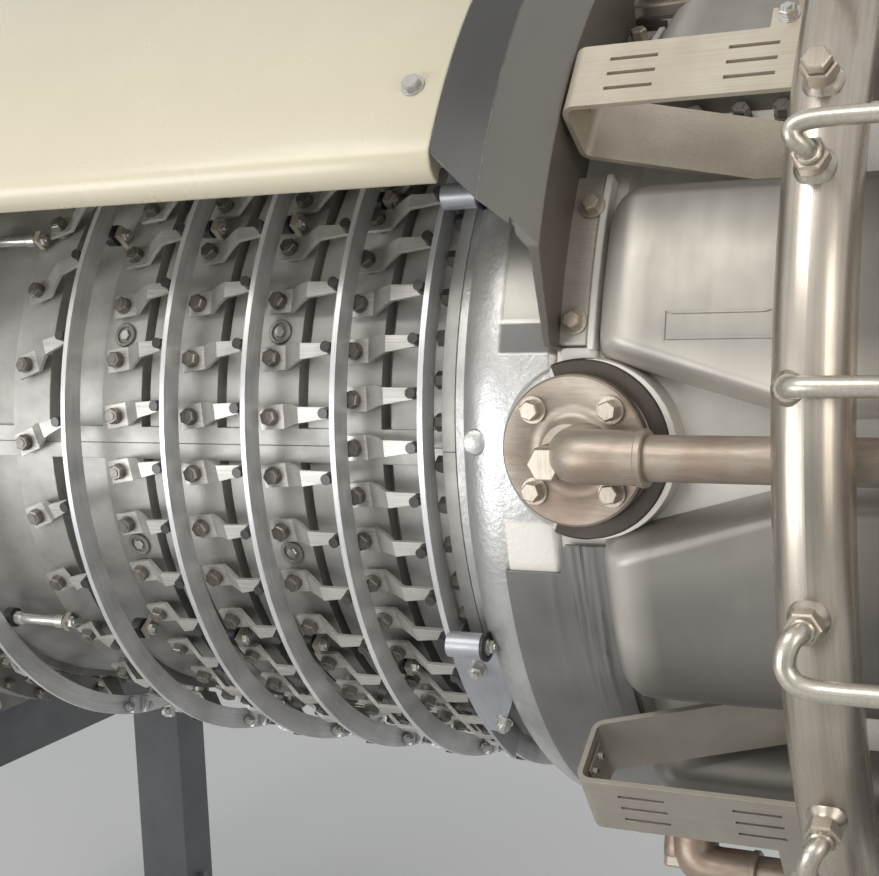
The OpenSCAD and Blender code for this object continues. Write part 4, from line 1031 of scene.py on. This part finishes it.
def make_joint_bolts():
    """Bolted joints of the cases, and the screws of the cover."""
    inlet = bolt_circles(505, 36, (-1144.8, AIM_AFT), (-1175.2, AIM_FORWARD))
    inlet += bolt_circles(457, 36, (-983.8, AIM_AFT), (-1015.2, AIM_FORWARD))
    fasten("inlet_joint_bolts", inlet, "nut_bright", "cast_case_paint", 71, 17, 9, 11.5, 2, 5, 14)
    front = bolt_circles(415, 40, (-816.2, AIM_FORWARD), (-783.8, AIM_AFT))
    fasten("front_case_bolts", front, "nut_dark", "stem_steel", 72, 13, 7, 8.5, 1.4, 4, 11)
    hot = bolt_circles(457, 60, (602.7, AIM_AFT), (563.2, AIM_FORWARD))
    hot += bolt_circles(489, 48, (984.4, AIM_FORWARD), (1023.2, AIM_AFT))
    fasten("turbine_joint_bolts", hot, "bolt_tinted", "turbine_metal", 73, 15, 9, 10.5, 1.6, 5, 14)
    bosses = [place(894, 472, 15 + 30 * k) for k in range(12)]
    fasten("boss_plugs", bosses, "nut_bright", "turbine_metal", 74, 19, 9, 14.5, 2, 5, 12)
    split = [place(622 + 30 * k, 436, angle) @ local(0, way * 18.1, 0) @ aim(-90 * way, "X")
             for angle in (0, 180) for k in range(6) for way in (1, -1)]
    fasten("turbine_split_bolts", split, "bolt_tinted", "turbine_metal", 75, 13, 8, 7.5, 1.4, 4, 12)
    caps = [place(x, 599.9, a) for x in (3, -984) for a in (35, 145)]
    fasten("cover_bolts", caps, "nut_bright", "cover_cream", 76, 15, 7, 11.5, 2.2, 3, 8)


# Intake bell


def holed_flange(shape, x0, x1, inner, outer, pitch, hole, count):
    """A flange ring with round through holes."""
    half = math.pi / count
    edge_loop = [(outer, half * (k / 2 - 1)) for k in range(4)]
    edge_loop += [(outer + (inner - outer) * k / 4, half) for k in range(4)]
    edge_loop += [(inner, half * (1 - k / 2)) for k in range(4)]
    edge_loop += [(inner + (outer - inner) * k / 4, -half) for k in range(4)]
    hole_loop = []
    for r, a in edge_loop:
        t = math.atan2(a * pitch, r - pitch)
        hole_loop.append((pitch + hole * math.cos(t), hole * math.sin(t) / pitch))
    points = len(edge_loop)
    for k in range(count):
        middle = (k + 0.5) * 2 * half
        loops = [[polar(x, r, math.degrees(middle + a)) for r, a in loop]
                 for x, loop in ((x0, edge_loop), (x0, hole_loop), (x1, hole_loop), (x1, edge_loop))]
        faces = wall(loops)
        for i in range(points):
            j = (i + 1) % points
            first, second = edge_loop[i][1], edge_loop[j][1]
            if min(abs(first), abs(second)) < half - 1e-6 or first * second < 0:
                faces.append((3 * points + i, 3 * points + j, j, i))
        shape.add(loops, faces)


def flare(r0, x0, r1, x1):
    """Quarter of an ellipse from (x0, r0) to (x1, r1)."""
    return [(x0 + (x1 - x0) * math.sin(t), r0 + (r1 - r0) * (1 - math.cos(t))) for t in quarter_turn(28)]


def make_bell():
    """Smooth bell of the intake with its end flange and the ribs on its split line."""
    bell = Shape()
    profile = [(-1160, 430)] + flare(430, -1200, 596, -1500)
    profile += [(-1500, 600), (-1497, 604), (-1482, 604)] + flare(445, -1200, 603.9, -1482)[::-1]
    profile += [(-1179, 445), (-1175.8, 446.2), (-1175, 449), (-1175, 519), (-1174, 520), (-1161, 520), (-1160, 519)]
    bell.spin(profile)
    holed_flange(bell, -1500, -1482, 598, 640, 622, 9, 24)
    for angle in (0, 180):
        for way in (1, -1):
            for x in (-1450, -1390, -1330, -1270, -1215):
                outer = 445 + 159 * (1 - math.cos(math.asin((x + 1200) / -282)))
                bell.block(place(x, outer + 8, angle), (-22, way * 9 - 8, -14), (22, way * 9 + 8, 8), 1.5)
    smooth_bell = bell.finish("intake_bell", "inlet_paint", "inlet_paint")
    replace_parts(smooth_bell, "inlet_bellmouth_upper", "inlet_bellmouth_lower")


for make in (make_jackets, make_jacket_frame, make_apron, make_cover, make_diffuser, make_clamps, make_injectors,
             make_manifold_dressing, make_strap_dressing, make_row_dressing, make_roller_brackets,
             make_roller_dressing, make_ring_joints, make_joint_bolts, make_bell):
    make()


# Camera, light and floor

CAMERA_SPOT = Vector((0.6212, -1.7274, 1.2861))
CAMERA_RIGHT = Vector((0.89901, 0.43589, -0.04216))
CAMERA_UP = Vector((-0.01327, 0.12332, 0.99228))
CAMERA_FOCUS_PIXELS = 1500.0
FRAME_WIDTH_PIXELS = 879
SENSOR_WIDTH = 36


def make_floor():
    mesh = bpy.data.meshes.new("floor")
    mesh.from_pydata([(-30, -30, 0), (30, -30, 0), (30, 30, 0), (-30, 30, 0)], [], [(0, 1, 2, 3)])
    floor = bpy.data.objects.new("floor", mesh)
    scene.collection.objects.link(floor)
    m = bpy.data.materials.new("pale floor")
    m.use_nodes = True
    shader = m.node_tree.nodes["Principled BSDF"]
    shader.inputs["Base Color"].default_value = (0.72, 0.72, 0.71, 1)
    shader.inputs["Roughness"].default_value = 0.75
    mesh.materials.append(m)


def make_world():
    """Cool light on the object, and a pale background for the camera, mirrors and glass."""
    world = bpy.data.worlds.new("studio")
    scene.world = world
    world.use_nodes = True
    world.node_tree.nodes.clear()
    t = Tree(world.node_tree)
    rays = t.add("ShaderNodeLightPath").outputs
    through = t.maths("MAXIMUM", rays["Is Glossy Ray"], rays["Is Transmission Ray"])
    seen = t.maths("MAXIMUM", rays["Is Camera Ray"], through)
    lit = t.add("ShaderNodeBackground", {"Color": (0.9, 0.95, 1.0, 1), "Strength": 0.35})
    shown = t.add("ShaderNodeBackground", {"Color": (0.86, 0.86, 0.85, 1), "Strength": 0.9})
    both = t.add("ShaderNodeMixShader", {0: seen, 1: lit.outputs[0], 2: shown.outputs[0]})
    t.add("ShaderNodeOutputWorld", {0: both.outputs[0]})


def soft_lamp(name, spot, target, size, power, colour):
    data = bpy.data.lights.new(name, "AREA")
    data.shape = "RECTANGLE"
    data.size, data.size_y = size
    data.energy = power
    data.color = colour
    lamp = bpy.data.objects.new(name, data)
    scene.collection.objects.link(lamp)
    lamp.location = spot
    lamp.rotation_euler = (Vector(target) - Vector(spot)).to_track_quat("-Z", "Y").to_euler()


def make_camera():
    data = bpy.data.cameras.new("camera")
    data.sensor_width = SENSOR_WIDTH
    data.lens = CAMERA_FOCUS_PIXELS * SENSOR_WIDTH / FRAME_WIDTH_PIXELS
    data.clip_start = 0.05
    camera = bpy.data.objects.new("camera", data)
    scene.collection.objects.link(camera)
    turn = Matrix((CAMERA_RIGHT, CAMERA_UP, CAMERA_RIGHT.cross(CAMERA_UP))).transposed().to_4x4()
    camera.matrix_world = Matrix.Translation(CAMERA_SPOT) @ turn
    scene.camera = camera


make_floor()
make_world()
make_camera()
soft_lamp("key", (-1.2, -3.0, 3.8), (-0.1, 0, 1.15), (2.6, 1.8), 70, (1.0, 0.975, 0.93))
soft_lamp("fill", (2.9, -2.4, 1.7), (0.2, 0, 1.1), (1.4, 2.2), 26, (1.0, 0.93, 0.84))
soft_lamp("side", (-2.2, -3.0, 0.75), (-0.3, 0, 1.1), (2.6, 1.3), 52, (0.98, 0.985, 1.0))
soft_lamp("rear", (0.5, 3.2, 3.2), (0, 0, 1.1), (3.0, 1.6), 50, (1.0, 0.98, 0.95))
scene.view_settings.view_transform = "Standard"
